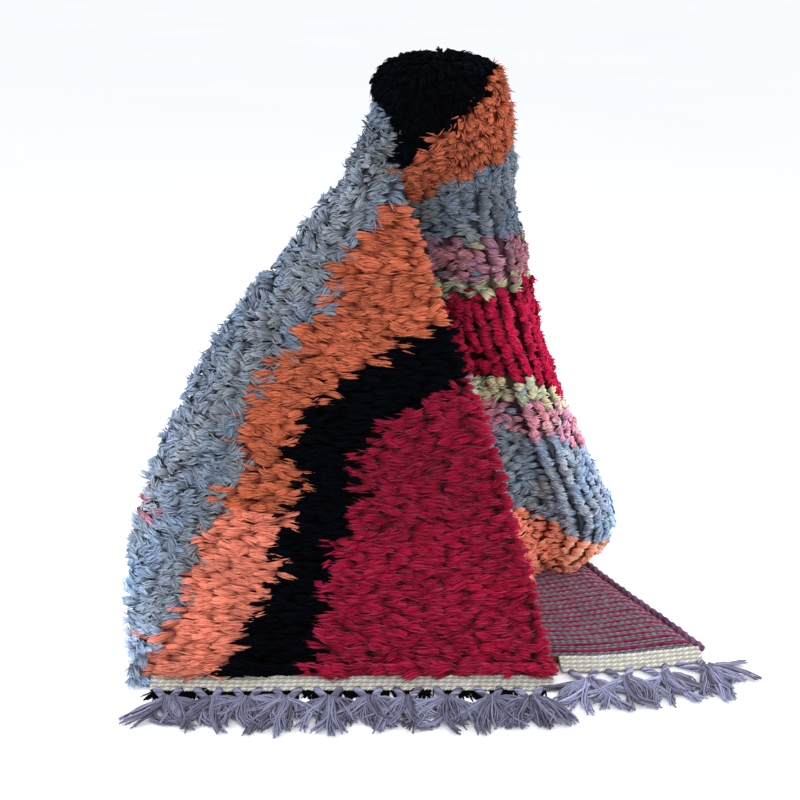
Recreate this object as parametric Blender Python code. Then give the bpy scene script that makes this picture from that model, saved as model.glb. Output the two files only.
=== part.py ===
"""Berber rug that stands wrapped on its fringed end: body, end fringes, side cord."""
import math

import bmesh
import bpy
import numpy as np

THICK = 0.026            # cloth and pile together
HALF = THICK / 2
SKIN_GAP = 0.0006        # between parts that touch
ROWS = 34                # from the fringed end to the peak
COLUMNS = 42             # from the front side edge round to the back one
CORE_COLUMNS = 40
FOLD_REACH = 0.029       # from a layer's middle to the fold's apex

# The front flap's face and its two sides, by height.
FLAP = (
    # z, face_y, side_x, fold_x
    (0.000, 0.000, 0.262, -0.446),
    (0.050, 0.028, 0.250, -0.455),
    (0.100, 0.055, 0.236, -0.459),
    (0.200, 0.100, 0.207, -0.454),
    (0.300, 0.135, 0.175, -0.424),
    (0.400, 0.162, 0.143, -0.376),
    (0.500, 0.187, 0.105, -0.319),
    (0.600, 0.210, 0.066, -0.245),
    (0.700, 0.230, 0.031, -0.157),
    (0.760, 0.243, 0.008, -0.114),
    (0.800, 0.258, -0.006, -0.078),
    (0.835, 0.274, -0.014, -0.050),
)

# Lines of the cloth behind the fold, from the fringed end over the floor and up.
BACK_LEFT = (
    # x, y, z
    (-0.170, 0.072, 0.013),
    (-0.205, 0.140, 0.013),
    (-0.238, 0.205, 0.018),
    (-0.252, 0.248, 0.065),
    (-0.245, 0.272, 0.160),
    (-0.212, 0.300, 0.310),
    (-0.160, 0.330, 0.480),
    (-0.102, 0.358, 0.640),
    (-0.062, 0.377, 0.750),
    (-0.036, 0.388, 0.830),
)
BACK_MIDDLE = (
    (0.100, 0.068, 0.013),
    (0.055, 0.160, 0.013),
    (0.000, 0.265, 0.013),
    (-0.038, 0.338, 0.020),
    (-0.052, 0.378, 0.070),
    (-0.048, 0.400, 0.180),
    (-0.034, 0.418, 0.350),
    (-0.008, 0.430, 0.530),
    (0.020, 0.434, 0.700),
    (0.038, 0.432, 0.830),
)
BACK_RIGHT = (
    (0.330, 0.062, 0.013),
    (0.280, 0.155, 0.013),
    (0.222, 0.262, 0.013),
    (0.170, 0.360, 0.013),
    (0.140, 0.430, 0.022),
    (0.132, 0.470, 0.080),
    (0.134, 0.482, 0.200),
    (0.134, 0.482, 0.380),
    (0.128, 0.474, 0.560),
    (0.112, 0.456, 0.730),
    (0.098, 0.438, 0.830),
)
BACK_SIDE = (
    (0.508, 0.092, 0.013),
    (0.465, 0.180, 0.013),
    (0.415, 0.275, 0.013),
    (0.373, 0.360, 0.013),
    (0.346, 0.430, 0.013),
    (0.334, 0.486, 0.028),
    (0.330, 0.512, 0.090),
    (0.316, 0.516, 0.220),
    (0.266, 0.504, 0.400),
    (0.216, 0.488, 0.580),
    (0.174, 0.462, 0.730),
    (0.138, 0.430, 0.830),
)

# The far half, packed inside and bulging out at the right, by height.
BULK = (
    # z, side_x, side_y, face_y, foot (how far it draws in at the floor)
    (0.014, 0.338, 0.400, 0.356, 0.045),
    (0.034, 0.366, 0.400, 0.336, 0.024),
    (0.056, 0.392, 0.400, 0.320, 0.012),
    (0.085, 0.408, 0.402, 0.314, 0.004),
    (0.120, 0.412, 0.404, 0.308, 0.000),
    (0.160, 0.401, 0.404, 0.304, 0.000),
    (0.220, 0.369, 0.402, 0.300, 0.000),
    (0.300, 0.331, 0.398, 0.294, 0.000),
    (0.400, 0.288, 0.392, 0.287, 0.000),
    (0.500, 0.253, 0.386, 0.281, 0.000),
    (0.600, 0.228, 0.380, 0.277, 0.000),
    (0.700, 0.208, 0.374, 0.273, 0.000),
    (0.750, 0.200, 0.371, 0.271, 0.000),
)

# The hood over the peak, by height.
HOOD = (
    # z, left_x, right_x, front_y, back_y
    (0.780, -0.088, 0.198, 0.265, 0.460),
    (0.800, -0.090, 0.196, 0.259, 0.468),
    (0.832, -0.074, 0.194, 0.260, 0.466),
    (0.865, -0.058, 0.189, 0.262, 0.462),
    (0.900, -0.044, 0.184, 0.265, 0.455),
    (0.928, -0.050, 0.178, 0.274, 0.447),
    (0.952, -0.041, 0.168, 0.290, 0.438),
    (0.970, -0.022, 0.150, 0.312, 0.424),
    (0.981, 0.008, 0.118, 0.338, 0.402),
)
PEAK = (0.064, 0.366, 0.987)

# The woven end strip and its fringe.
STRIP_THICK = 0.004
STRIP_LEAN = 1.15        # run over rise where it leans on the flap's foot
BUNDLE_PITCH = 0.060
LEG_SPREAD = 0.019
LEG_WIDTH = 0.009
KNOT_REACH = 0.034
KNOT_RADIUS = 0.010
KNOT_HEIGHT = 0.009
LOCKS = 8
LOCK_WIDTH = 0.0044
LOCK_HEIGHT = 0.0050
LOCK_LENGTH = 0.092
FAN = math.radians(27)

SIDE_CORD_RADIUS = 0.0055
SIDE_CORD_SIDES = 6
SIDE_CORD_STEPS = 46

COLOURS = {
    "rug_body": (0.46, 0.10, 0.15, 1.0),
    "end_fringe_front": (0.62, 0.60, 0.58, 1.0),
    "end_fringe_back": (0.62, 0.60, 0.58, 1.0),
    "side_cord": (0.25, 0.07, 0.12, 1.0),
}


def column(table, index):
    return np.array([row[index] for row in table], dtype=float)


def smooth_path(points, steps):
    """Catmull-Rom curve through the points, steps samples even in length."""
    points = np.asarray(points, dtype=float)
    gaps = np.linalg.norm(np.diff(points, axis=0), axis=1)
    knots = np.concatenate(([0.0], np.cumsum(np.maximum(gaps, 1e-6))))
    slopes = np.zeros_like(points)
    slopes[1:-1] = (points[2:] - points[:-2]) / (knots[2:] - knots[:-2])[:, None]
    slopes[0] = (points[1] - points[0]) / (knots[1] - knots[0])
    slopes[-1] = (points[-1] - points[-2]) / (knots[-1] - knots[-2])

    def at(t):
        t = np.clip(t, 0.0, knots[-1])
        i = np.clip(np.searchsorted(knots, t, side="right") - 1, 0, len(points) - 2)
        h = (knots[i + 1] - knots[i])[:, None]
        s = (t - knots[i])[:, None] / h
        return ((2 * s**3 - 3 * s**2 + 1) * points[i]
                + (s**3 - 2 * s**2 + s) * h * slopes[i]
                + (3 * s**2 - 2 * s**3) * points[i + 1]
                + (s**3 - s**2) * h * slopes[i + 1])

    dense = at(np.linspace(0.0, knots[-1], 40 * len(points)))
    run = np.concatenate(([0.0], np.cumsum(np.linalg.norm(np.diff(dense, axis=0), axis=1))))
    want = np.linspace(0.0, run[-1], steps)
    return np.stack([np.interp(want, run, dense[:, k]) for k in range(3)], axis=1)


def flap_at(z):
    heights = column(FLAP, 0)
    return [np.interp(z, heights, column(FLAP, k)) for k in (1, 2, 3)]


def wall_at(line, z):
    """Where a line of the back wall is at a height."""
    rising = [row for row in line if row[2] > 0.0135]
    heights = [row[2] for row in rising]
    return np.array([np.interp(z, heights, [row[0] for row in rising]),
                     np.interp(z, heights, [row[1] for row in rising])])


def front_lines():
    """Middle lines of the flap, from its side edge to just behind the fold."""
    lines = {name: [] for name in ("edge", "inner", "middle", "near_fold", "fold", "behind")}
    for z, face, side, fold in FLAP:
        z = max(z, 0.006)
        y = face + HALF
        width = side - fold
        reach = min(0.050, 0.28 * width)
        belly = 0.020 * math.sin(math.pi * min(1.0, z / 0.8)) * width
        lines["edge"].append((side - min(0.008, 0.08 * width), y, z))
        lines["inner"].append((side - 0.22 * width, y - 0.3 * belly, z))
        lines["middle"].append((side - 0.52 * width, y - belly, z))
        lines["near_fold"].append((fold + reach, y, z))
        lines["fold"].append((fold + min(0.013, 0.12 * width), y + FOLD_REACH, z))
        lines["behind"].append((fold + reach + 0.004, y + 2 * FOLD_REACH, z))
    return lines


def lumps(points, size):
    """Uneven relief of thick pile."""
    x, y, z = points[:, 0], points[:, 1], points[:, 2]
    return size * (np.sin(61 * x + 23 * z + 0.6) * np.sin(47 * z + 31 * y)
                   + 0.7 * np.sin(103 * x - 71 * y + 37 * z + 1.9)
                   + 0.5 * np.sin(149 * z + 83 * x + 2.4)) / 1.6


def wrap_grid():
    front = front_lines()
    order = [front["edge"], front["inner"], front["middle"], front["near_fold"],
             front["fold"], front["behind"], BACK_LEFT, BACK_MIDDLE, BACK_RIGHT, BACK_SIDE]
    lines = [smooth_path(line, ROWS) for line in order]
    grid = np.stack([smooth_path([line[r] for line in lines], COLUMNS) for r in range(ROWS)])
    # every row keeps the same share of its columns for the flap and the fold
    shares = np.mean([[np.linalg.norm(np.diff(np.array([line[r] for line in lines]), axis=0), axis=1)]
                      for r in range(ROWS)], axis=0)[0]
    counts = np.maximum(2, np.round(shares / shares.sum() * (COLUMNS - 1))).astype(int)
    counts[3] = counts[4] = 4
    while counts.sum() > COLUMNS - 1:
        counts[np.argmax(counts)] -= 1
    while counts.sum() < COLUMNS - 1:
        counts[np.argmax(shares / counts)] += 1
    for r in range(ROWS):
        named = np.array([line[r] for line in lines])
        dense = smooth_path(named, 60 * len(named))
        run = np.concatenate(([0.0], np.cumsum(np.linalg.norm(np.diff(dense, axis=0), axis=1))))
        marks = [run[np.argmin(np.linalg.norm(dense - point, axis=1))] for point in named]
        marks[0], marks[-1] = 0.0, run[-1]
        want = [0.0]
        for k, count in enumerate(counts):
            want += list(np.linspace(marks[k], marks[k + 1], count + 1)[1:])
        grid[r] = np.stack([np.interp(want, run, dense[:, k]) for k in range(3)], axis=1)
    return grid


def grid_normals(grid):
    along = np.gradient(grid, axis=0)
    across = np.gradient(grid, axis=1)
    normals = np.cross(along, across)
    return normals / np.linalg.norm(normals, axis=2, keepdims=True)


def inner_half(grid):
    """Half thickness on the inside, less where the cloth bends tightly."""
    half = np.full(grid.shape[:2], HALF)
    for r in range(grid.shape[0]):
        for c in range(1, grid.shape[1] - 1):
            a, b, d = grid[r, c - 1], grid[r, c], grid[r, c + 1]
            area = np.linalg.norm(np.cross(b - a, d - b)) / 2
            sides = np.linalg.norm(b - a) * np.linalg.norm(d - b) * np.linalg.norm(d - a)
            radius = sides / max(4 * area, 1e-9)
            half[r, c] = min(HALF, 0.40 * radius)
    half[:, 1:-1] = np.minimum(half[:, 1:-1], (half[:, :-2] + half[:, 2:] + 2 * half[:, 1:-1]) / 4)
    return half


def wrap_mesh():
    grid = wrap_grid()
    normals = grid_normals(grid)
    # the pile side looks at the viewer on the flap
    if normals[ROWS // 2, 6, 1] > 0:
        normals = -normals
    rows, columns = grid.shape[:2]
    share = np.arange(columns) / (columns - 1)
    height = np.arange(rows) / (rows - 1)
    free = np.clip(grid[:, :, 2] / 0.10, 0.0, 1.0) * np.clip((1.0 - height[:, None]) / 0.15, 0.0, 1.0)
    behind = np.clip((share - 0.50) / 0.10, 0.0, 1.0) * np.clip((1.0 - share) / 0.06, 0.0, 1.0)
    pleats = 0.015 * np.sin(2 * math.pi * 3.6 * share + 0.5) * behind
    grid = grid + normals * (pleats[None, :, None] * free[:, :, None])
    # the cloth bends where the flap's foot meets its lean
    pile = lumps(grid.reshape(-1, 3), 0.0032).reshape(rows, columns)
    outer = grid + normals * (HALF + pile * np.clip(grid[:, :, 2] / 0.05, 0.15, 1.0))[:, :, None]
    inner = grid - normals * inner_half(grid)[:, :, None]
    # locks of pile stand out along the side edges
    tangent = grid[:, 0] - grid[:, 1]
    tangent /= np.linalg.norm(tangent, axis=1, keepdims=True)
    tooth = 0.004 * np.where(np.arange(rows) % 2 == 0, 1.0, -1.0)[:, None]
    tooth *= np.clip((0.86 - height[:, None]) / 0.1, 0.0, 1.0)
    for layer in (outer, inner):
        layer[1:, 0] += tangent[1:] * tooth[1:]
    outer[:, :, 2] = np.maximum(outer[:, :, 2], 0.0)
    inner[:, :, 2] = np.maximum(inner[:, :, 2], 0.0)
    # the stretch that lies on the floor is flat beneath
    lies = (grid[:, :, 2] < 0.0137) & (normals[:, :, 2] < -0.98)
    outer[:, :, 2][lies] = 0.0

    verts, faces = [], []

    def add(layer):
        start = len(verts)
        verts.extend(layer.reshape(-1, 3).tolist())
        return start

    top, low = add(outer), add(inner)

    def ring(r, c, base):
        return base + r * columns + c

    for r in range(rows - 1):
        for c in range(columns - 1):
            faces.append((ring(r, c, top), ring(r, c + 1, top), ring(r + 1, c + 1, top), ring(r + 1, c, top)))
            faces.append((ring(r, c, low), ring(r + 1, c, low), ring(r + 1, c + 1, low), ring(r, c + 1, low)))
    # rounded rim all the way round
    border = ([(0, c) for c in range(columns)] + [(r, columns - 1) for r in range(1, rows)]
              + [(rows - 1, c) for c in range(columns - 2, -1, -1)] + [(r, 0) for r in range(rows - 2, 0, -1)])
    rim = len(verts)
    for r, c in border:
        inside = grid[min(max(r, 1), rows - 2), min(max(c, 1), columns - 2)]
        out = grid[r, c] - inside
        out /= max(np.linalg.norm(out), 1e-9)
        bulge = 0.006 * min(1.0, max(0.15, (0.92 - height[r]) / 0.12))
        middle = (outer[r, c] + inner[r, c]) / 2 + out * bulge
        middle[2] = max(middle[2], 0.0 if r == 0 and c < columns // 2 else 0.0035)
        verts.append(middle.tolist())
    count = len(border)
    for k in range(count):
        (r0, c0), (r1, c1) = border[k], border[(k + 1) % count]
        a, b = rim + k, rim + (k + 1) % count
        faces.append((ring(r0, c0, top), a, b, ring(r1, c1, top)))
        faces.append((ring(r0, c0, low), ring(r1, c1, low), b, a))
    return verts, faces, grid, outer


def core_sections():
    """Closed outlines of the packed far half, low to high."""
    sections = []
    for z, side_x, side_y, face_y, foot in BULK:
        face, edge, fold = flap_at(z)
        hidden = face + THICK + 0.012 + foot
        wall_z = max(z, 0.075)
        left, middle, right, side = (wall_at(line, wall_z) for line in
                                     (BACK_LEFT, BACK_MIDDLE, BACK_RIGHT, BACK_SIDE))
        width = edge - fold
        tip = np.array([fold + min(0.110, 0.45 * width) + foot, hidden + 0.028 + foot])
        out = np.array([0.0, foot])
        drawn = np.array([foot * 0.8, -foot - 0.007])
        merge = min(1.0, max(0.0, (z - 0.5) / 0.25))
        rear = side - np.array([0.035, 0.030]) * (1 - merge) - np.array([0.008, 0.004]) * merge
        rear[0] = min(rear[0], side_x - 0.045 + 0.015 * merge)
        outline = [
            (side_x, side_y),
            (side_x - 0.030, face_y + 0.030),
            ((side_x + edge) / 2 + 0.014, face_y),
            (edge + 0.024, face_y + 0.004),
            (edge - min(0.020, 0.06 * width), (hidden + face_y) / 2 + 0.004),
            (edge - 0.16 * width, hidden),
            (edge - 0.38 * width, hidden - 0.25 * foot),
            tuple(tip),
            tuple(left + (0.030, 0.0) + drawn),
            tuple(middle + drawn * (0.6, 1.0)),
            tuple(right - out - (0.0, 0.007)),
            tuple(rear - out),
        ]
        sections.append(([(x, y, z) for x, y in outline]))
    for z, left_x, right_x, front_y, back_y in HOOD:
        mx, my = (left_x + right_x) / 2, (front_y + back_y) / 2
        rx, ry = (right_x - left_x) / 2, (back_y - front_y) / 2
        angles = [0, -38, -66, -90, -112, -135, -155, 180, 142, 100, 62, 30]
        outline = []
        for angle in angles:
            c, s = math.cos(math.radians(angle)), math.sin(math.radians(angle))
            power = 0.70
            skew = 0.012 * math.copysign(abs(c)**power, c) * max(0.0, -s) * min(1.0, (0.93 - z) / 0.06)
            outline.append((mx + rx * math.copysign(abs(c)**power, c),
                            my + ry * math.copysign(abs(s)**power, s) + max(-0.012, skew), z))
        sections.append(outline)
    return sections


def closed_curve(points, samples):
    """Smooth closed outline, the same number of samples between named points."""
    points = np.asarray(points, dtype=float)
    count = len(points)
    per = [samples // count + (1 if k < samples % count else 0) for k in range(count)]
    result = []
    for k in range(count):
        p0, p1, p2, p3 = (points[(k + d) % count] for d in (-1, 0, 1, 2))
        d0, d1, d2 = (max(np.linalg.norm(b - a), 1e-6) for a, b in ((p0, p1), (p1, p2), (p2, p3)))
        m1 = ((p1 - p0) / d0 * d1 + (p2 - p1) / d1 * d0) / (d0 + d1) * d1
        m2 = ((p2 - p1) / d1 * d2 + (p3 - p2) / d2 * d1) / (d1 + d2) * d1
        for s in np.arange(per[k]) / per[k]:
            result.append((2 * s**3 - 3 * s**2 + 1) * p1 + (s**3 - 2 * s**2 + s) * m1
                          + (3 * s**2 - 2 * s**3) * p2 + (s**3 - s**2) * m2)
    return np.array(result)


def core_mesh():
    sections = [closed_curve(outline, CORE_COLUMNS) for outline in core_sections()]
    layers = []
    for a, b in zip(sections, sections[1:]):
        steps = max(1, int(round((b[0, 2] - a[0, 2]) / 0.045)))
        for k in range(steps):
            layers.append(a + (b - a) * k / steps)
    layers.append(sections[-1])
    verts, faces = [], []
    for layer in layers:
        middle = layer.mean(axis=0)
        out = layer - middle
        out[:, 2] = 0.0
        out /= np.linalg.norm(out, axis=1, keepdims=True)
        z = layer[0, 2]
        strength = min(1.0, max(0.0, (z - 0.03) / 0.06)) * min(1.0, max(0.3, (0.99 - z) / 0.08))
        around = np.arctan2(out[:, 1], out[:, 0])
        # soft upright folds on the side that shows
        shows = np.clip(1.4 - np.abs(around + 0.35), 0.0, 1.0)
        folds = 0.006 * np.sin(7.0 * around + 4.0 * z + 0.8) * shows * min(1.0, max(0.0, (0.85 - z) / 0.3))
        rise = lumps(layer, 0.0028) * strength + folds * strength
        verts.extend((layer + out * rise[:, None]).tolist())
    count = CORE_COLUMNS
    for r in range(len(layers) - 1):
        for c in range(count):
            d = (c + 1) % count
            faces.append((r * count + c, (r + 1) * count + c, (r + 1) * count + d, r * count + d))
    faces.append(tuple(range(count)))
    verts.append(list(PEAK))
    last = (len(layers) - 1) * count
    for c in range(count):
        faces.append((last + c, len(verts) - 1, last + (c + 1) % count))
    return verts, faces


def make_object(name, verts, faces):
    mesh = bpy.data.meshes.new(name)
    mesh.from_pydata(verts, [], faces)
    shape = bmesh.new()
    shape.from_mesh(mesh)
    bmesh.ops.triangulate(shape, faces=shape.faces[:])
    bmesh.ops.recalc_face_normals(shape, faces=shape.faces[:])
    shape.to_mesh(mesh)
    shape.free()
    obj = bpy.data.objects.new(name, mesh)
    bpy.context.scene.collection.objects.link(obj)
    return obj


def paint(obj):
    material = bpy.data.materials.new(obj.name + "_wool")
    material.use_nodes = True
    shader = material.node_tree.nodes["Principled BSDF"]
    shader.inputs["Base Color"].default_value = COLOURS[obj.name]
    shader.inputs["Roughness"].default_value = 0.95
    obj.data.materials.clear()
    obj.data.materials.append(material)


def build_body():
    verts, faces, grid, outer = wrap_mesh()
    body = make_object("rug_body", verts, faces)
    verts, faces = core_mesh()
    core = make_object("packed_half", verts, faces)
    join = body.modifiers.new("join", "BOOLEAN")
    join.operation = "UNION"
    join.solver = "EXACT"
    join.use_self = True
    join.object = core
    bpy.context.view_layer.objects.active = body
    with bpy.context.temp_override(object=body, active_object=body, selected_objects=[body]):
        bpy.ops.object.modifier_apply(modifier=join.name)
    bpy.data.objects.remove(core, do_unlink=True)
    shape = bmesh.new()
    shape.from_mesh(body.data)
    bmesh.ops.remove_doubles(shape, verts=shape.verts[:], dist=0.00001)
    bmesh.ops.triangulate(shape, faces=shape.faces[:])
    # drop anything the joining left inside
    shape.verts.ensure_lookup_table()
    seen, groups = set(), []
    for start in shape.verts:
        if start.index in seen:
            continue
        stack, group = [start], []
        seen.add(start.index)
        while stack:
            vert = stack.pop()
            group.append(vert)
            for edge in vert.link_edges:
                other = edge.other_vert(vert)
                if other.index not in seen:
                    seen.add(other.index)
                    stack.append(other)
        groups.append(group)
    groups.sort(key=len)
    for group in groups[:-1]:
        bmesh.ops.delete(shape, geom=group, context="VERTS")
    bmesh.ops.recalc_face_normals(shape, faces=shape.faces[:])
    shape.to_mesh(body.data)
    shape.free()
    paint(body)
    return grid, outer


def fringe(name, back_edge, front_edge, fans):
    """Strip between two edges with knotted bundles along its front edge.

    The edges are functions of the run along the strip, fans lists each bundle's
    place on that run and the way it points.
    """
    cuts = [0.0]
    for place, _ in fans:
        for side in (-1, 1):
            middle = place + side * LEG_SPREAD
            cuts += [middle - LEG_WIDTH / 2, middle + LEG_WIDTH / 2]
    cuts.append(fans[-1][0] + BUNDLE_PITCH / 2)
    cuts = sorted(cuts)
    verts, faces = [], []

    def vert(point):
        verts.append([float(v) for v in point])
        return len(verts) - 1

    rings = []
    for run in cuts:
        back, front = np.array(back_edge(run)), np.array(front_edge(run))
        span = (back - front) / np.linalg.norm(back - front)
        lift = np.array((-span[0] * span[2], -span[1] * span[2], 1 - span[2]**2))
        lift /= np.linalg.norm(lift)
        foot = np.array((front[0], front[1], 0.0))
        rings.append([vert(foot), vert(foot + (0, 0, LOCK_HEIGHT)),
                      vert(back + lift * STRIP_THICK), vert(back)])
    legs = []
    for k in range(len(rings) - 1):
        a, b = rings[k], rings[k + 1]
        faces += [(a[1], a[2], b[2], b[1]), (a[2], a[3], b[3], b[2]), (a[3], a[0], b[0], b[3])]
        if k % 2 == 1:
            legs.append((k, [a[0], b[0], b[1], a[1]]))
        else:
            faces.append((a[0], a[1], b[1], b[0]))
    faces += [tuple(rings[0]), tuple(reversed(rings[-1]))]

    def tube(start, path, sizes):
        """Four-sided tube from a quad of vertices through centres on the floor."""
        ring_now = start
        for (x, y, yaw), (wide, high) in zip(path, sizes):
            across = np.array((math.cos(yaw), math.sin(yaw)))
            corners = [(x - across[0] * wide / 2, y - across[1] * wide / 2),
                       (x + across[0] * wide / 2, y + across[1] * wide / 2)]
            new = [vert((*corners[0], 0.0)), vert((*corners[1], 0.0)),
                   vert((*corners[1], high)), vert((*corners[0], high))]
            for i in range(4):
                j = (i + 1) % 4
                faces.append((ring_now[i], ring_now[j], new[j], new[i]))
            ring_now = new
        return ring_now

    for index, (place, heading) in enumerate(fans):
        root = np.array(front_edge(place))[:2]
        ahead = np.array((math.cos(heading), math.sin(heading)))
        across = np.array((-ahead[1], ahead[0]))
        knot = root + ahead * KNOT_REACH
        low, high = [], []
        # the knot: legs come in behind, locks leave in front
        for turn in np.linspace(-1.0, 1.0, LOCKS + 1):
            angle = turn * math.radians(78)
            at = knot + ahead * math.cos(angle) * KNOT_RADIUS + across * math.sin(angle) * KNOT_RADIUS * 1.25
            low.append(vert((*at, 0.0)))
            high.append(vert((*at, KNOT_HEIGHT)))
        pair = [quad for _, quad in legs[2 * index:2 * index + 2]]
        run_way = np.array(front_edge(place + LEG_SPREAD)) - np.array(front_edge(place - LEG_SPREAD))
        forward = float(np.dot(run_way[:2], across)) > 0
        order = pair if forward else pair[::-1]
        rear = [knot - ahead * KNOT_RADIUS * 0.75 + across * d * KNOT_RADIUS for d in (-0.16, 0.16)]
        rear_low = [vert((*p, 0.0)) for p in rear]
        rear_high = [vert((*p, KNOT_HEIGHT)) for p in rear]
        centre = vert((*(knot + ahead * 0.001), KNOT_HEIGHT * 1.25))
        loop_low = [low[0], *low[1:], rear_low[1], rear_low[0]]
        loop_high = [high[0], *high[1:], rear_high[1], rear_high[0]]
        faces.append(tuple(loop_low))
        for i in range(len(loop_high)):
            faces.append((loop_high[i], loop_high[(i + 1) % len(loop_high)], centre))
        # between the two legs
        faces.append((rear_low[0], rear_low[1], rear_high[1], rear_high[0]))
        for which, quad in enumerate(order):
            # corners of the knot's face, nearest the rear centre first
            inner, outer_i = (0, 0) if which == 0 else (1, LOCKS)
            knot_low_in, knot_low_out = rear_low[inner], low[outer_i]
            knot_high_in, knot_high_out = rear_high[inner], high[outer_i]
            first, second = np.array(verts[quad[0]][:2]), np.array(verts[quad[1]][:2])
            first_is_outer = quad is pair[0]
            ends = [knot_low_out, knot_low_in, knot_high_in, knot_high_out] if first_is_outer else \
                   [knot_low_in, knot_low_out, knot_high_out, knot_high_in]
            start_mid = (first + second) / 2
            end_mid = np.mean([verts[i][:2] for i in ends], axis=0)
            bow = across * (0.004 if which else -0.004)
            mid = (start_mid + end_mid) / 2 + bow
            run_dir = second - first
            ring_mid = tube(quad, [(mid[0], mid[1], math.atan2(run_dir[1], run_dir[0]))],
                            [(LEG_WIDTH * 0.72, LOCK_HEIGHT)])
            for i in range(4):
                j = (i + 1) % 4
                faces.append((ring_mid[i], ring_mid[j], ends[j], ends[i]))
        for k in range(LOCKS):
            quad = [low[k], low[k + 1], high[k + 1], high[k]]
            spread = (k + 0.5) / LOCKS * 2 - 1
            wobble = 0.06 * math.sin(5.1 * k + 2.3 * index)
            angle = heading + spread * FAN + wobble
            length = LOCK_LENGTH * (1 + 0.13 * math.sin(3.7 * k + 1.3 * index + 0.4))
            base = np.mean([verts[i][:2] for i in quad], axis=0)
            path, sizes = [], []
            at = base
            for step, share in enumerate((0.20, 0.45, 0.35)):
                turn = angle + (0.16 if step == 1 else -0.10) * math.sin(2.9 * k + index)
                at = at + np.array((math.cos(turn), math.sin(turn))) * length * share
                path.append((at[0], at[1], turn + math.pi / 2))
                sizes.append(((LOCK_WIDTH, LOCK_HEIGHT), (LOCK_WIDTH * 0.85, LOCK_HEIGHT * 0.85),
                              (LOCK_WIDTH * 0.35, LOCK_HEIGHT * 0.4))[step])
            end = tube(quad, path, sizes)
            faces.append(tuple(end))
    obj = make_object(name, verts, faces)
    paint(obj)
    return obj


def build_front_fringe(outer):
    """Along the foot of the flap, from the corner to the fold."""
    fold = int(np.argmin(outer[0, :, 0]))
    top = 0.017
    low, high = outer[0, :fold + 1], outer[1, :fold + 1]
    lean = np.minimum((high[:, 1] - low[:, 1]) / (high[:, 2] - low[:, 2]), STRIP_LEAN)
    seat_x, seat_y = low[::-1, 0], (low[:, 1] + (top - low[:, 2]) * lean)[::-1]
    edge_x, fold_x = 0.244, -0.410
    length = edge_x - fold_x
    count = int(length / BUNDLE_PITCH)
    pitch = length / count

    def seat(x):
        near_fold = max(0.0, (fold_x + 0.045 - x) / 0.045)
        return float(np.interp(x, seat_x, seat_y)) - 1.5 * SKIN_GAP - 0.003 * near_fold

    def back_edge(run):
        x = edge_x + 0.008 - run
        return (x, seat(x), top)

    def front_edge(run):
        x = edge_x + 0.008 - run
        return (x, seat(x) - STRIP_LEAN * top, 0.0)

    fans = []
    for k in range(count):
        place = 0.010 + pitch * (k + 0.5)
        fans.append((place, -math.pi / 2 + 0.15 * math.sin(1.7 * k + 0.3) + 0.22 * (k / count)**2))
    return fringe("end_fringe_front", back_edge, front_edge, fans)


def build_back_fringe(grid):
    """On the run that lies on the floor at the right."""
    start, end = 0.268, 0.512
    xs = grid[0, COLUMNS // 2:, 0]
    ys = grid[0, COLUMNS // 2:, 1] - 0.0018 - SKIN_GAP

    def back_edge(run):
        x = start + run
        y = float(np.interp(x, xs, ys))
        return (x, y, 0.0)

    def front_edge(run):
        x = start + run
        y = float(np.interp(x, xs, ys))
        return (x + 0.004, y - 0.026, 0.0)

    count = 4
    pitch = (end - start) / count
    fans = []
    for k in range(count):
        heading = -math.pi / 2 + (0.06, 0.12, 0.28, 0.74)[k]
        fans.append((0.004 + pitch * (k + 0.5), heading))
    return fringe("end_fringe_back", back_edge, front_edge, fans)


def build_side_cord(grid):
    """Overcast cord along the free side edge, from the corner to under the hood."""
    edge = grid[:, -1]
    out = edge - grid[:, -2]
    out /= np.linalg.norm(out, axis=1, keepdims=True)
    path = edge + out * (0.0066 + SIDE_CORD_RADIUS + SKIN_GAP)
    path[:, 2] = np.maximum(path[:, 2] - 0.002, SIDE_CORD_RADIUS * 1.12)
    keep = path[:, 2] < 0.72
    path = smooth_path(path[keep], SIDE_CORD_STEPS)
    verts, faces = [], []
    for k, centre in enumerate(path):
        ahead = path[min(k + 1, len(path) - 1)] - path[max(k - 1, 0)]
        ahead /= np.linalg.norm(ahead)
        side = np.cross(ahead, (0.0, 0.3, 1.0))
        side /= np.linalg.norm(side)
        up = np.cross(side, ahead)
        radius = SIDE_CORD_RADIUS * (1.06 if k % 2 else 0.96)
        if k in (0, len(path) - 1):
            radius *= 0.6
        for s in range(SIDE_CORD_SIDES):
            angle = 2 * math.pi * s / SIDE_CORD_SIDES
            verts.append((centre + radius * (math.cos(angle) * side + math.sin(angle) * up)).tolist())
    n = SIDE_CORD_SIDES
    for k in range(len(path) - 1):
        for s in range(n):
            t = (s + 1) % n
            faces.append((k * n + s, k * n + t, (k + 1) * n + t, (k + 1) * n + s))
    faces.append(tuple(range(n)))
    faces.append(tuple(range((len(path) - 1) * n, len(path) * n)))
    paint(make_object("side_cord", verts, faces))


def centre_on_floor():
    """Origin under the middle of the whole part's box."""
    corners = np.array([v.co for obj in bpy.data.objects for v in obj.data.vertices])
    low, high = corners.min(axis=0), corners.max(axis=0)
    move = np.array(((low[0] + high[0]) / 2, (low[1] + high[1]) / 2, low[2]))
    for obj in bpy.data.objects:
        for v in obj.data.vertices:
            v.co = np.array(v.co) - move
    print("centred by", *(round(float(c), 4) for c in move))


def main():
    for obj in list(bpy.data.objects):
        bpy.data.objects.remove(obj, do_unlink=True)
    grid, outer = build_body()
    build_front_fringe(outer)
    build_back_fringe(grid)
    build_side_cord(grid)
    centre_on_floor()


main()
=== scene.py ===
"""Berber rug, wrapped and standing: cloth, pile, woven back, end strips, fringe and side cord."""

import functools
import math

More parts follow.
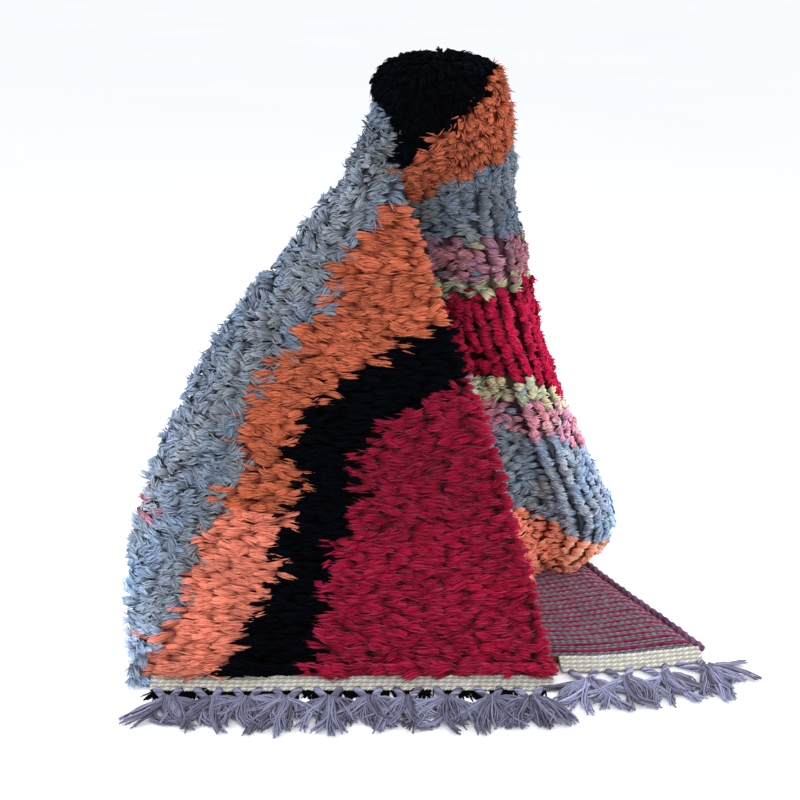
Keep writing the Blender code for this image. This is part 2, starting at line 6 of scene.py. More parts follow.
import bpy
import numpy as np
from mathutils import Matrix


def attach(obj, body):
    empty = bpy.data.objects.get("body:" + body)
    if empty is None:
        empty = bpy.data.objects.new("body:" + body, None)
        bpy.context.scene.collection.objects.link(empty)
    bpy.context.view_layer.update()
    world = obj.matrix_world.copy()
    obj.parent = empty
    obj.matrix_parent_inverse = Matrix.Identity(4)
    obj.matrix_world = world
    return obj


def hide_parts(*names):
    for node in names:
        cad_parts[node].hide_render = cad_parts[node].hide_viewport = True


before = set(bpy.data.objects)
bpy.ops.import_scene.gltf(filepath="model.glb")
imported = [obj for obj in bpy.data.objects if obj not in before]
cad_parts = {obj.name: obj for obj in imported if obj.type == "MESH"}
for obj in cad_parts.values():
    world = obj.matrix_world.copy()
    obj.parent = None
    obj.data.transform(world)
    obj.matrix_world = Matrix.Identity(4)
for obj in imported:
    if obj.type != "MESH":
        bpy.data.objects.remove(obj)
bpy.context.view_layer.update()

bl_info = {
    "name": "Wrapped berber rug",
    "version": (1, 0, 0),
    "blender": (4, 5, 0),
    "location": "3D View > Sidebar > Rug",
    "description": "Builds a thick wool rug that stands wrapped on its fringed end",
    "category": "Object",
}

# The shape of the wrapped rug, as the solids have it.
FLOOR_SHIFT = np.array((0.0759, 0.1814, 0.0))
LOWEST = 0.0003          # how low a yarn may reach over the floor
WOVEN_ROW = 0.0055       # from one row of the woven back to the next
SALMON_TOP = 0.253       # how high the faded foot of the orange band reaches
THICK = 0.026            # cloth and pile together
HALF = THICK / 2
CLOTH = 0.011            # woven ground with the knots' bases
SKIN_GAP = 0.0006
ROWS = 34
COLUMNS = 42
CORE_COLUMNS = 40
FINE_ROWS = 100          # the near half's surface under the pile
FINE_COLUMNS = 168
FOLD_REACH = 0.029

FLAP = (
    # z, face_y, side_x, fold_x
    (0.000, 0.000, 0.262, -0.446),
    (0.050, 0.028, 0.250, -0.455),
    (0.100, 0.055, 0.236, -0.459),
    (0.200, 0.100, 0.207, -0.454),
    (0.300, 0.135, 0.175, -0.424),
    (0.400, 0.162, 0.143, -0.376),
    (0.500, 0.187, 0.105, -0.319),
    (0.600, 0.210, 0.066, -0.245),
    (0.700, 0.230, 0.031, -0.157),
    (0.760, 0.243, 0.008, -0.114),
    (0.800, 0.258, -0.006, -0.078),
    (0.835, 0.274, -0.014, -0.050),
)
BACK_LEFT = (
    # x, y, z
    (-0.170, 0.072, 0.013),
    (-0.205, 0.140, 0.013),
    (-0.238, 0.205, 0.018),
    (-0.252, 0.248, 0.065),
    (-0.245, 0.272, 0.160),
    (-0.212, 0.300, 0.310),
    (-0.160, 0.330, 0.480),
    (-0.102, 0.358, 0.640),
    (-0.062, 0.377, 0.750),
    (-0.036, 0.388, 0.830),
)
BACK_MIDDLE = (
    (0.100, 0.068, 0.013),
    (0.055, 0.160, 0.013),
    (0.000, 0.265, 0.013),
    (-0.038, 0.338, 0.020),
    (-0.052, 0.378, 0.070),
    (-0.048, 0.400, 0.180),
    (-0.034, 0.418, 0.350),
    (-0.008, 0.430, 0.530),
    (0.020, 0.434, 0.700),
    (0.038, 0.432, 0.830),
)
BACK_RIGHT = (
    (0.330, 0.062, 0.013),
    (0.280, 0.155, 0.013),
    (0.222, 0.262, 0.013),
    (0.170, 0.360, 0.013),
    (0.140, 0.430, 0.022),
    (0.132, 0.470, 0.080),
    (0.134, 0.482, 0.200),
    (0.134, 0.482, 0.380),
    (0.128, 0.474, 0.560),
    (0.112, 0.456, 0.730),
    (0.098, 0.438, 0.830),
)
BACK_SIDE = (
    (0.508, 0.092, 0.013),
    (0.465, 0.180, 0.013),
    (0.415, 0.275, 0.013),
    (0.373, 0.360, 0.013),
    (0.346, 0.430, 0.013),
    (0.334, 0.486, 0.028),
    (0.330, 0.512, 0.090),
    (0.316, 0.516, 0.220),
    (0.266, 0.504, 0.400),
    (0.216, 0.488, 0.580),
    (0.174, 0.462, 0.730),
    (0.138, 0.430, 0.830),
)
BULK = (
    # z, side_x, side_y, face_y, foot
    (0.014, 0.338, 0.400, 0.356, 0.045),
    (0.034, 0.366, 0.400, 0.336, 0.024),
    (0.056, 0.392, 0.400, 0.320, 0.012),
    (0.085, 0.408, 0.402, 0.314, 0.004),
    (0.120, 0.412, 0.404, 0.308, 0.000),
    (0.160, 0.401, 0.404, 0.304, 0.000),
    (0.220, 0.369, 0.402, 0.300, 0.000),
    (0.300, 0.331, 0.398, 0.294, 0.000),
    (0.400, 0.288, 0.392, 0.287, 0.000),
    (0.500, 0.253, 0.386, 0.281, 0.000),
    (0.600, 0.228, 0.380, 0.277, 0.000),
    (0.700, 0.208, 0.374, 0.273, 0.000),
    (0.750, 0.200, 0.371, 0.271, 0.000),
)
HOOD = (
    # z, left_x, right_x, front_y, back_y
    (0.780, -0.088, 0.198, 0.265, 0.460),
    (0.800, -0.090, 0.196, 0.259, 0.468),
    (0.832, -0.074, 0.194, 0.260, 0.466),
    (0.865, -0.058, 0.189, 0.262, 0.462),
    (0.900, -0.044, 0.184, 0.265, 0.455),
    (0.928, -0.050, 0.178, 0.274, 0.447),
    (0.952, -0.041, 0.168, 0.290, 0.438),
    (0.970, -0.022, 0.150, 0.312, 0.424),
    (0.981, 0.008, 0.118, 0.338, 0.402),
)
PEAK = (0.064, 0.366, 0.987)

STRIP_LEAN = 1.15
STRIP_TOP = 0.017
BUNDLE_PITCH = 0.060
LEG_SPREAD = 0.019
KNOT_REACH = 0.034
KNOT_RADIUS = 0.010
LOCK_LENGTH = 0.092
FAN = math.radians(27)
SIDE_CORD_RADIUS = 0.0055

# Where one wool gives way to the next: height and x, read along each edge in the photograph.
GREY_TO_ORANGE = ((0.0, -0.414), (0.035, -0.416), (0.06, -0.417), (0.08, -0.381), (0.153, -0.354),
                  (0.222, -0.324), (0.28, -0.288), (0.322, -0.26), (0.38, -0.265), (0.415, -0.266),
                  (0.457, -0.243), (0.523, -0.180), (0.587, -0.121), (0.66, -0.098), (0.71, -0.054),
                  (0.755, -0.007), (0.78, 0.03))
ORANGE_TO_BLACK = ((0.03, -0.28), (0.083, -0.243), (0.158, -0.194), (0.193, -0.20), (0.228, -0.19),
                   (0.271, -0.174), (0.314, -0.151), (0.363, -0.182), (0.416, -0.142), (0.469, -0.086),
                   (0.526, 0.008), (0.565, 0.084), (0.60, 0.20))
BLACK_TO_CRIMSON = ((0.01, -0.158), (0.05, -0.156), (0.115, -0.140), (0.158, -0.132), (0.242, -0.104),
                    (0.282, -0.079), (0.31, -0.093), (0.365, -0.073), (0.41, -0.015), (0.435, 0.027),
                    (0.456, 0.068), (0.474, 0.119), (0.50, 0.25))
# lower edges of the far half's bands, read the same way: the share across what shows, from beside the
# flap (0) to the right silhouette (1), and the height
FAR_BANDS = (
    ("black", ((0.0, 0.800), (0.22, 0.822), (0.25, 0.840), (0.43, 0.866), (0.58, 0.891), (0.70, 0.910),
               (0.80, 0.918), (0.83, 0.940), (0.90, 0.950), (1.0, 0.958))),
    ("orange", ((0.0, 0.752), (0.21, 0.760), (0.36, 0.774), (0.48, 0.786), (0.68, 0.805), (0.81, 0.817),
                (0.92, 0.836), (1.0, 0.855))),
    ("grey", ((0.0, 0.686), (1.0, 0.680))),
    ("pink", ((0.0, 0.610), (0.5, 0.614), (1.0, 0.612))),
    ("olive", ((0.0, 0.584), (0.5, 0.590), (1.0, 0.602))),
    ("crimson", ((0.0, 0.443), (0.5, 0.436), (0.7, 0.424), (0.85, 0.400), (1.0, 0.330))),
    ("olive", ((0.0, 0.396), (0.5, 0.398), (0.75, 0.385), (0.9, 0.360), (1.0, 0.308))),
    ("pink", ((0.0, 0.335), (0.6, 0.318), (0.85, 0.290), (1.0, 0.250))),
    ("grey", ((0.0, 0.180), (0.45, 0.127), (0.75, 0.098), (0.9, 0.082), (1.0, 0.062))),
    ("orange", ((0.0, -1.0), (1.0, -1.0))),
)
HOOD_GREY = ((0.76, 0.010), (0.79, 0.002), (0.82, -0.023), (0.86, -0.012), (0.90, -0.027))
# widths of the bands on the wall behind, counted from the fold
WALL_BANDS = ((0.17, "grey"), (0.25, "pink"), (0.275, "olive"), (0.43, "crimson"), (0.455, "olive"),
              (0.53, "pink"), (0.68, "grey"), (0.80, "orange"), (9.0, "black"))
WOOLS = ("grey", "orange", "salmon", "black", "crimson", "pink", "olive")
GREY, ORANGE, SALMON, BLACK, CRIMSON, PINK, OLIVE = range(len(WOOLS))
# painted highlights: the lighter tone that the end of each lock and strand is mixed towards
PAINTED_HIGHLIGHTS = {"grey": "#bccde2", "orange": "#dd8a60", "salmon": "#ec9f88", "black": "#060918",
        "crimson": "#cc4f7e", "pink": "#dcb0bf", "olive": "#d2cfae"}
# painted shade: darker tones for the roots of the locks, the gaps between them and the ground cloth seen
# through the pile
PAINTED_SHADE = {"grey": "#565c68", "orange": "#8a3418", "salmon": "#d8755c", "black": "#010206",
        "crimson": "#43020f", "pink": "#66404c", "olive": "#6a6550"}


def linear(code):
    """Scene colour from a painter's hex code."""
    parts = [int(code[k:k + 2], 16) / 255 for k in (1, 3, 5)]
    return tuple(p / 12.92 if p <= 0.04045 else ((p + 0.055) / 1.055) ** 2.4 for p in parts)


def tones(table):
    """Colours of a table of codes, in the order of the wools."""
    return np.array([linear(table[name]) for name in WOOLS])


def between(values, at):
    """Rows of an array at broken row numbers, straight from one row to the next."""
    i = np.minimum(np.asarray(at).astype(int), len(values) - 2)
    s = np.reshape(at - i, np.shape(at) + (1,) * (values.ndim - 1))
    return values[i] * (1 - s) + values[i + 1] * s


def column(table, index):
    return np.array([row[index] for row in table], dtype=float)


def smooth_path(points, steps):
    """Catmull-Rom curve through the points, steps samples even in length."""
    points = np.asarray(points, dtype=float)
    gaps = np.linalg.norm(np.diff(points, axis=0), axis=1)
    knots = np.concatenate(([0.0], np.cumsum(np.maximum(gaps, 1e-6))))
    slopes = np.zeros_like(points)
    slopes[1:-1] = (points[2:] - points[:-2]) / (knots[2:] - knots[:-2])[:, None]
    slopes[0] = (points[1] - points[0]) / (knots[1] - knots[0])
    slopes[-1] = (points[-1] - points[-2]) / (knots[-1] - knots[-2])
    t = np.linspace(0.0, knots[-1], 40 * len(points))
    i = np.clip(np.searchsorted(knots, t, side="right") - 1, 0, len(points) - 2)
    h = (knots[i + 1] - knots[i])[:, None]
    s = (t - knots[i])[:, None] / h
    dense = ((2 * s**3 - 3 * s**2 + 1) * points[i] + (s**3 - 2 * s**2 + s) * h * slopes[i]
             + (3 * s**2 - 2 * s**3) * points[i + 1] + (s**3 - s**2) * h * slopes[i + 1])
    run = lengths_along(dense)
    want = np.linspace(0.0, run[-1], steps)
    return np.stack([np.interp(want, run, dense[:, k]) for k in range(3)], axis=1)


def lengths_along(points):
    return np.concatenate(([0.0], np.cumsum(np.linalg.norm(np.diff(points, axis=0), axis=1))))


def unit(vectors):
    return vectors / np.maximum(np.linalg.norm(vectors, axis=-1, keepdims=True), 1e-9)


def flap_at(z):
    heights = column(FLAP, 0)
    return [np.interp(z, heights, column(FLAP, k)) for k in (1, 2, 3)]


def wall_at(line, z):
    rising = [row for row in line if row[2] > 0.0135]
    heights = [row[2] for row in rising]
    return np.array([np.interp(z, heights, [row[0] for row in rising]),
                     np.interp(z, heights, [row[1] for row in rising])])


def front_lines():
    """Middle lines of the flap, from its side edge to just behind the fold."""
    lines = {name: [] for name in ("edge", "inner", "middle", "near_fold", "fold", "behind")}
    for z, face, side, fold in FLAP:
        z = max(z, 0.006)
        y = face + HALF
        width = side - fold
        reach = min(0.050, 0.28 * width)
        belly = 0.020 * math.sin(math.pi * min(1.0, z / 0.8)) * width
        lines["edge"].append((side - min(0.008, 0.08 * width), y, z))
        lines["inner"].append((side - 0.22 * width, y - 0.3 * belly, z))
        lines["middle"].append((side - 0.52 * width, y - belly, z))
        lines["near_fold"].append((fold + reach, y, z))
        lines["fold"].append((fold + min(0.013, 0.12 * width), y + FOLD_REACH, z))
        lines["behind"].append((fold + reach + 0.004, y + 2 * FOLD_REACH, z))
    return lines


def lumps(points, size):
    x, y, z = points[..., 0], points[..., 1], points[..., 2]
    return size * (np.sin(61 * x + 23 * z + 0.6) * np.sin(47 * z + 31 * y)
                   + 0.7 * np.sin(103 * x - 71 * y + 37 * z + 1.9)
                   + 0.5 * np.sin(149 * z + 83 * x + 2.4)) / 1.6


def wrap_grid():
    """Middle surface of the near half: rows from the fringed end up, columns round the wrap."""
    front = front_lines()
    order = [front["edge"], front["inner"], front["middle"], front["near_fold"],
             front["fold"], front["behind"], BACK_LEFT, BACK_MIDDLE, BACK_RIGHT, BACK_SIDE]
    lines = [smooth_path(line, ROWS) for line in order]
    grid = np.zeros((ROWS, COLUMNS, 3))
    shares = np.mean([[np.linalg.norm(np.diff(np.array([line[r] for line in lines]), axis=0), axis=1)]
                      for r in range(ROWS)], axis=0)[0]
    counts = np.maximum(2, np.round(shares / shares.sum() * (COLUMNS - 1))).astype(int)
    counts[3] = counts[4] = 4
    while counts.sum() > COLUMNS - 1:
        counts[np.argmax(counts)] -= 1
    while counts.sum() < COLUMNS - 1:
        counts[np.argmax(shares / counts)] += 1
    for r in range(ROWS):
        named = np.array([line[r] for line in lines])
        dense = smooth_path(named, 60 * len(named))
        run = lengths_along(dense)
        marks = [run[np.argmin(np.linalg.norm(dense - point, axis=1))] for point in named]
        marks[0], marks[-1] = 0.0, run[-1]
        want = [0.0]
        for k, count in enumerate(counts):
            want += list(np.linspace(marks[k], marks[k + 1], count + 1)[1:])
        grid[r] = np.stack([np.interp(want, run, dense[:, k]) for k in range(3)], axis=1)
    return grid, counts


def grid_normals(grid):
    normals = unit(np.cross(np.gradient(grid, axis=0), np.gradient(grid, axis=1)))
    # the pile side looks at the viewer on the flap
    return -normals if normals[len(grid) // 2, grid.shape[1] // 7, 1] > 0 else normals


def inner_half(grid):
    """Half thickness on the inside, less where the cloth bends tightly."""
    a, b, d = grid[:, :-2], grid[:, 1:-1], grid[:, 2:]
    area = np.linalg.norm(np.cross(b - a, d - b), axis=2) / 2
    sides = (np.linalg.norm(b - a, axis=2) * np.linalg.norm(d - b, axis=2) * np.linalg.norm(d - a, axis=2))
    half = np.full(grid.shape[:2], HALF)
    half[:, 1:-1] = np.minimum(HALF, 0.40 * sides / np.maximum(4 * area, 1e-9))
    half[:, 1:-1] = np.minimum(half[:, 1:-1], (half[:, :-2] + half[:, 2:] + 2 * half[:, 1:-1]) / 4)
    return half


def finer(values, count, axis, closed=False):
    """Smoothly more samples of a grid along one axis."""
    values = np.moveaxis(values, axis, 0)
    n = len(values)
    t = np.linspace(0, n if closed else n - 1, count, endpoint=not closed)
    i = np.minimum(t.astype(int), n - 1 if closed else n - 2)
    s = (t - i).reshape((-1,) + (1,) * (values.ndim - 1))
    if closed:
        p0, p1, p2, p3 = (values[(i + k) % n] for k in (-1, 0, 1, 2))
    else:
        p0, p1, p2, p3 = (values[np.clip(i + k, 0, n - 1)] for k in (-1, 0, 1, 2))
    out = p1 + 0.5 * s * (p2 - p0 + s * (2 * p0 - 5 * p1 + 4 * p2 - p3 + s * (3 * (p1 - p2) + p3 - p0)))
    return np.moveaxis(out, 0, axis)


@functools.cache
def near_half():
    """The near half's surfaces, coarse as the solids have them and fine for cloth and pile."""
    coarse, counts = wrap_grid()
    normals = grid_normals(coarse)
    share = np.arange(COLUMNS) / (COLUMNS - 1)
    height = np.arange(ROWS) / (ROWS - 1)
    free = (np.clip(coarse[:, :, 2] / 0.10, 0.0, 1.0)
            * np.clip((1.0 - height[:, None]) / 0.15, 0.0, 1.0))
    behind = np.clip((share - 0.50) / 0.10, 0.0, 1.0) * np.clip((1.0 - share) / 0.06, 0.0, 1.0)
    pleats = 0.015 * np.sin(2 * math.pi * 3.6 * share + 0.5) * behind
    coarse = coarse + normals * (pleats[None, :, None] * free[:, :, None])
    relief = lumps(coarse, 0.0032) * np.clip(coarse[:, :, 2] / 0.05, 0.15, 1.0)
    outer = coarse + normals * (HALF + relief)[:, :, None]
    outer[:, :, 2] = np.maximum(outer[:, :, 2], 0.0)
    half = inner_half(coarse)

    middle = finer(finer(coarse, FINE_ROWS, 0), FINE_COLUMNS, 1)
    fine_half = finer(finer(half, FINE_ROWS, 0), FINE_COLUMNS, 1)
    # the top is drawn together under the hood
    tuck = np.clip((middle[:, :, 2] - 0.74) / 0.09, 0.0, 1.0)[:, :, None]
    axis = np.array((0.055, 0.365, 0.0))
    axis = np.broadcast_to(axis, middle.shape) * (1, 1, 0) + middle * (0, 0, 1)
    middle = middle + (axis - middle) * 0.16 * tuck * tuck
    fine_normals = grid_normals(middle)
    back = middle - fine_normals * fine_half[:, :, None]
    run = np.stack([lengths_along(row) for row in middle])
    rise = np.stack([lengths_along(middle[:, c]) for c in range(middle.shape[1])], axis=1)
    # the bound edges of the part that lies on the floor are thinner than its pile
    inside = np.minimum(rise + 0.008, run[:, -1:] - run + 0.004) / 0.045
    lying = (np.abs(middle[:, :, 2] - 0.013) < 0.002) & (fine_normals[:, :, 2] < -0.9)
    pressed = np.clip(inside, 0.0, 1.0)
    flattened = 0.0125 + (back[:, :, 2] - 0.0125) * pressed * (2 - pressed)
    back[:, :, 2] = np.where(lying, flattened, back[:, :, 2])
    ground = back + fine_normals * CLOTH
    back[:, :, 2] = np.maximum(back[:, :, 2], 0.0)
    ground[:, :, 2] = np.maximum(ground[:, :, 2], 0.0)
    marks = np.concatenate(([0], np.cumsum(counts))) / (COLUMNS - 1)
    return {"coarse": coarse, "outer": outer, "middle": middle, "normals": fine_normals, "back": back,
            "ground": ground, "marks": marks, "run": run, "rise": rise}


def core_sections():
    """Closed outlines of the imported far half, low to high."""
    sections = []
    for z, side_x, side_y, face_y, foot in BULK:
        face, edge, fold = flap_at(z)
        hidden = face + THICK + 0.012 + foot
        wall_z = max(z, 0.075)
        left, middle, right, side = (wall_at(line, wall_z) for line in
                                     (BACK_LEFT, BACK_MIDDLE, BACK_RIGHT, BACK_SIDE))
        width = edge - fold
        tip = np.array([fold + min(0.110, 0.45 * width) + foot, hidden + 0.028 + foot])
        out = np.array([0.0, foot])
        drawn = np.array([foot * 0.8, -foot - 0.007])
        merge = min(1.0, max(0.0, (z - 0.5) / 0.25))
        rear = side - np.array([0.035, 0.030]) * (1 - merge) - np.array([0.008, 0.004]) * merge
        rear[0] = min(rear[0], side_x - 0.045 + 0.015 * merge)
        outline = [
            (side_x, side_y),
            (side_x - 0.030, face_y + 0.030),
            ((side_x + edge) / 2 + 0.014, face_y),
            (edge + 0.024, face_y + 0.004),
            (edge - min(0.020, 0.06 * width), (hidden + face_y) / 2 + 0.004),
            (edge - 0.16 * width, hidden),
            (edge - 0.38 * width, hidden - 0.25 * foot),
            tuple(tip),
            tuple(left + (0.030, 0.0) + drawn),
            tuple(middle + drawn * (0.6, 1.0)),
            tuple(right - out - (0.0, 0.007)),
            tuple(rear - out),
        ]
        sections.append([(x, y, z) for x, y in outline])
    for z, left_x, right_x, front_y, back_y in HOOD:
        mx, my = (left_x + right_x) / 2, (front_y + back_y) / 2
        rx, ry = (right_x - left_x) / 2, (back_y - front_y) / 2
        outline = []
        for angle in (0, -38, -66, -90, -112, -135, -155, 180, 142, 100, 62, 30):
            c, s = math.cos(math.radians(angle)), math.sin(math.radians(angle))
            skew = 0.012 * math.copysign(abs(c)**0.7, c) * max(0.0, -s) * min(1.0, (0.93 - z) / 0.06)
            outline.append((mx + rx * math.copysign(abs(c)**0.7, c),
                            my + ry * math.copysign(abs(s)**0.7, s) + max(-0.012, skew), z))
        sections.append(outline)
    return sections


def closed_curve(points, samples):
    """Smooth closed outline, the same number of samples between named points."""
    points = np.asarray(points, dtype=float)
    count = len(points)
    per = [samples // count + (1 if k < samples % count else 0) for k in range(count)]
    result = []
    for k in range(count):
        p0, p1, p2, p3 = (points[(k + d) % count] for d in (-1, 0, 1, 2))
        d0, d1, d2 = (max(np.linalg.norm(b - a), 1e-6) for a, b in ((p0, p1), (p1, p2), (p2, p3)))
        m1 = ((p1 - p0) / d0 * d1 + (p2 - p1) / d1 * d0) / (d0 + d1) * d1
        m2 = ((p2 - p1) / d1 * d2 + (p3 - p2) / d2 * d1) / (d1 + d2) * d1
        for s in np.arange(per[k]) / per[k]:
            result.append((2 * s**3 - 3 * s**2 + 1) * p1 + (s**3 - 2 * s**2 + s) * m1
                          + (3 * s**2 - 2 * s**3) * p2 + (s**3 - s**2) * m2)
    return np.array(result)


@functools.cache
def far_half():
    """The far half's outer skin: layers from the foot to the peak, columns all the way round."""
    sections = [closed_curve(outline, CORE_COLUMNS) for outline in core_sections()]
    layers = []
    for a, b in zip(sections, sections[1:]):
        steps = max(1, int(round((b[0, 2] - a[0, 2]) / 0.022)))
        layers += [a + (b - a) * k / steps for k in range(steps)]
    layers.append(sections[-1])
    for share in (0.35, 0.68, 0.9):
        layers.append(sections[-1] + (np.array(PEAK) - sections[-1]) * (share, share, 1 - (1 - share)**1.8))
    skin = []
    for layer in layers:
        out = (layer - layer.mean(axis=0)) * (1, 1, 0)
        out = unit(out)
        z = layer[:, 2]
        strength = np.clip((z - 0.03) / 0.06, 0.0, 1.0) * np.clip((0.99 - z) / 0.08, 0.0, 1.0)
        around = np.arctan2(out[:, 1], out[:, 0])
        shows = np.clip(1.4 - np.abs(around + 0.35), 0.0, 1.0)
        folds = 0.006 * np.sin(7.0 * around + 4.0 * z + 0.8) * shows * np.clip((0.85 - z) / 0.3, 0.0, 1.0)
        skin.append(layer + out * ((lumps(layer, 0.0028) + folds) * strength)[:, None])
    skin = finer(finer(np.array(skin), 110, 0), 120, 1, closed=True)
    wrapped = np.concatenate([skin[:, -1:], skin, skin[:, :1]], axis=1)
    normals = unit(np.cross(np.gradient(skin, axis=0), np.gradient(wrapped, axis=1)[:, 1:-1]))
    middle = skin.mean(axis=1, keepdims=True)
    if ((skin - middle) * normals)[20].sum() < 0:
        normals = -normals
    normals[-2:] = (0.0, 0.0, 1.0)
    return skin, normals


def make_mesh(name, points, faces, colours=None, flat_map=None):
    """A mesh object from arrays; faces is a list of arrays with one kind of polygon each."""
    mesh = bpy.data.meshes.new(name)
    points = np.asarray(points, dtype=np.float32) - FLOOR_SHIFT.astype(np.float32)
    corners = np.concatenate([np.asarray(f).ravel() for f in faces]).astype(np.int32)
    sizes = np.concatenate([np.full(len(f), np.asarray(f).shape[1]) for f in faces])
    starts = np.concatenate(([0], np.cumsum(sizes)[:-1])).astype(np.int32)
    mesh.vertices.add(len(points))
    mesh.vertices.foreach_set("co", points.ravel())
    mesh.loops.add(len(corners))
    mesh.polygons.add(len(sizes))
    mesh.polygons.foreach_set("loop_start", starts)
    mesh.polygons.foreach_set("vertices", corners)
    mesh.update(calc_edges=True)
    mesh.polygons.foreach_set("use_smooth", np.full(len(sizes), True))
    if colours is not None:
        layer = mesh.color_attributes.new(name="wool", type="FLOAT_COLOR", domain="POINT")
        rgba = np.ones((len(points), 4), dtype=np.float32)
        rgba[:, :3] = np.clip(colours, 0.0, 1.0)
        layer.data.foreach_set("color", rgba.ravel())
    if flat_map is not None:
        layer = mesh.uv_layers.new(name="rug")
        layer.data.foreach_set("uv", np.asarray(flat_map, dtype=np.float32)[corners].ravel())
    obj = bpy.data.objects.new(name, mesh)
    bpy.context.scene.collection.objects.link(obj)
    return obj


def yarns(name, centres, ups, widths, heights, colours, sides=3, pointed=True):
    """Many tapered yarns as one mesh: centres and ups are count x rings x 3."""
    count, rings = centres.shape[:2]
    ahead = unit(np.gradient(centres, axis=1))
    across = unit(np.cross(np.broadcast_to(ups, centres.shape), ahead))
    above = np.cross(ahead, across)
    body = rings - 1 if pointed else rings
    turns = math.pi / 2 + 2 * math.pi * np.arange(sides) / sides
    ring = (centres[:, :body, None]
            + across[:, :body, None] * (np.cos(turns)[None, None, :, None] * widths[:, :body, None, None] / 2)
            + above[:, :body, None]
            * (np.sin(turns)[None, None, :, None] * heights[:, :body, None, None] / 2))
    points = ring.reshape(count, body * sides, 3)
    shades = np.repeat(colours[:, :body], sides, axis=1)
    if pointed:
        points = np.concatenate([points, centres[:, -1:]], axis=1)
        shades = np.concatenate([shades, colours[:, -1:]], axis=1)
    per = points.shape[1]
    around = np.arange(sides)
    beside = (around + 1) % sides
    quads = np.concatenate([np.stack([r * sides + around, r * sides + beside,
                                      (r + 1) * sides + beside, (r + 1) * sides + around], axis=1)
                            for r in range(body - 1)])
    offsets = (np.arange(count) * per)[:, None, None]
    faces = [(quads[None] + offsets).reshape(-1, 4)]
    last = (body - 1) * sides
    if pointed:
        tips = np.stack([last + around, last + beside, np.full(sides, per - 1)], axis=1)
        faces.append((tips[None] + offsets).reshape(-1, 3))
    else:
        faces.append((last + around)[None] + (np.arange(count) * per)[:, None])
    faces.append(around[::-1][None] + (np.arange(count) * per)[:, None])
    flat = points.reshape(-1, 3)
    flat[:, 2] = np.maximum(flat[:, 2], LOWEST)
    return make_mesh(name, flat, faces, shades.reshape(-1, 3))


def slab(name, top, low, closed=False, colours=None, flat_map=None):
    """A thin closed cloth between two grids of the same size; top is the side it faces."""
    rows, columns = top.shape[:2]
    half = rows * columns
    wide = columns if closed else columns - 1
    r, c = np.meshgrid(np.arange(rows - 1), np.arange(wide), indexing="ij")
    d = (c + 1) % columns
    cell = np.stack([r * columns + c, r * columns + d, (r + 1) * columns + d, (r + 1) * columns + c], axis=-1)
    cell = cell.reshape(-1, 4)
    faces = [cell, cell[:, ::-1] + half]

    def edge(a, b):
        faces.append(np.stack([b, a, a + half, b + half], axis=1))

    around = np.arange(wide)
    beside = (around + 1) % columns
    edge(around, beside)
    if not closed:
        last = (rows - 1) * columns
        edge(last + beside, last + around)
        up = np.arange(rows - 1) * columns
        edge(up + columns, up)
        edge(up + columns - 1, up + 2 * columns - 1)
    points = np.concatenate([top.reshape(-1, 3), low.reshape(-1, 3)])
    if closed:
        # caps at the peak
        last = (rows - 1) * columns
        points = np.concatenate([points, top[-1].mean(axis=0)[None], low[-1].mean(axis=0)[None]])
        peak, under = 2 * half, 2 * half + 1
        faces.append(np.stack([last + around, last + beside, np.full(wide, peak)], axis=1))
        faces.append(np.stack([last + beside + half, last + around + half, np.full(wide, under)], axis=1))
    return make_mesh(name, points, faces, colours, flat_map)


def face_out(obj, want):
    """Turn every face over if the first one's normal disagrees with the wanted way."""
    obj.data.update()
    if obj.data.polygons[0].normal.dot(want) < 0:
        obj.data.flip_normals()


class Value:
    """A shader value that Python's own operators work on."""

    def __init__(self, tree, socket):
        self.tree = tree
        self.socket = socket

    def _math(self, operation, first, second=None):
        node = self.tree.nodes.new("ShaderNodeMath")
        node.operation = operation
        for slot, value in zip(node.inputs, (first, second)):
            if isinstance(value, Value):
                self.tree.links.new(value.socket, slot)
            elif value is not None:
                slot.default_value = value
        return Value(self.tree, node.outputs[0])

    def __add__(self, other):
        return self._math("ADD", self, other)

    def __radd__(self, other):
        return self._math("ADD", other, self)

    def __sub__(self, other):
        return self._math("SUBTRACT", self, other)

    def __rsub__(self, other):
        return self._math("SUBTRACT", other, self)

    def __mul__(self, other):
        return self._math("MULTIPLY", self, other)

    def __rmul__(self, other):
        return self._math("MULTIPLY", other, self)

    def __truediv__(self, other):
        return self._math("DIVIDE", self, other)

    def fraction(self):
        return self._math("FRACT", self)

    def wave(self):
        return self._math("SINE", self)

    def bounded(self, low, high):
        return self._math("MINIMUM", self._math("MAXIMUM", self, low), high)


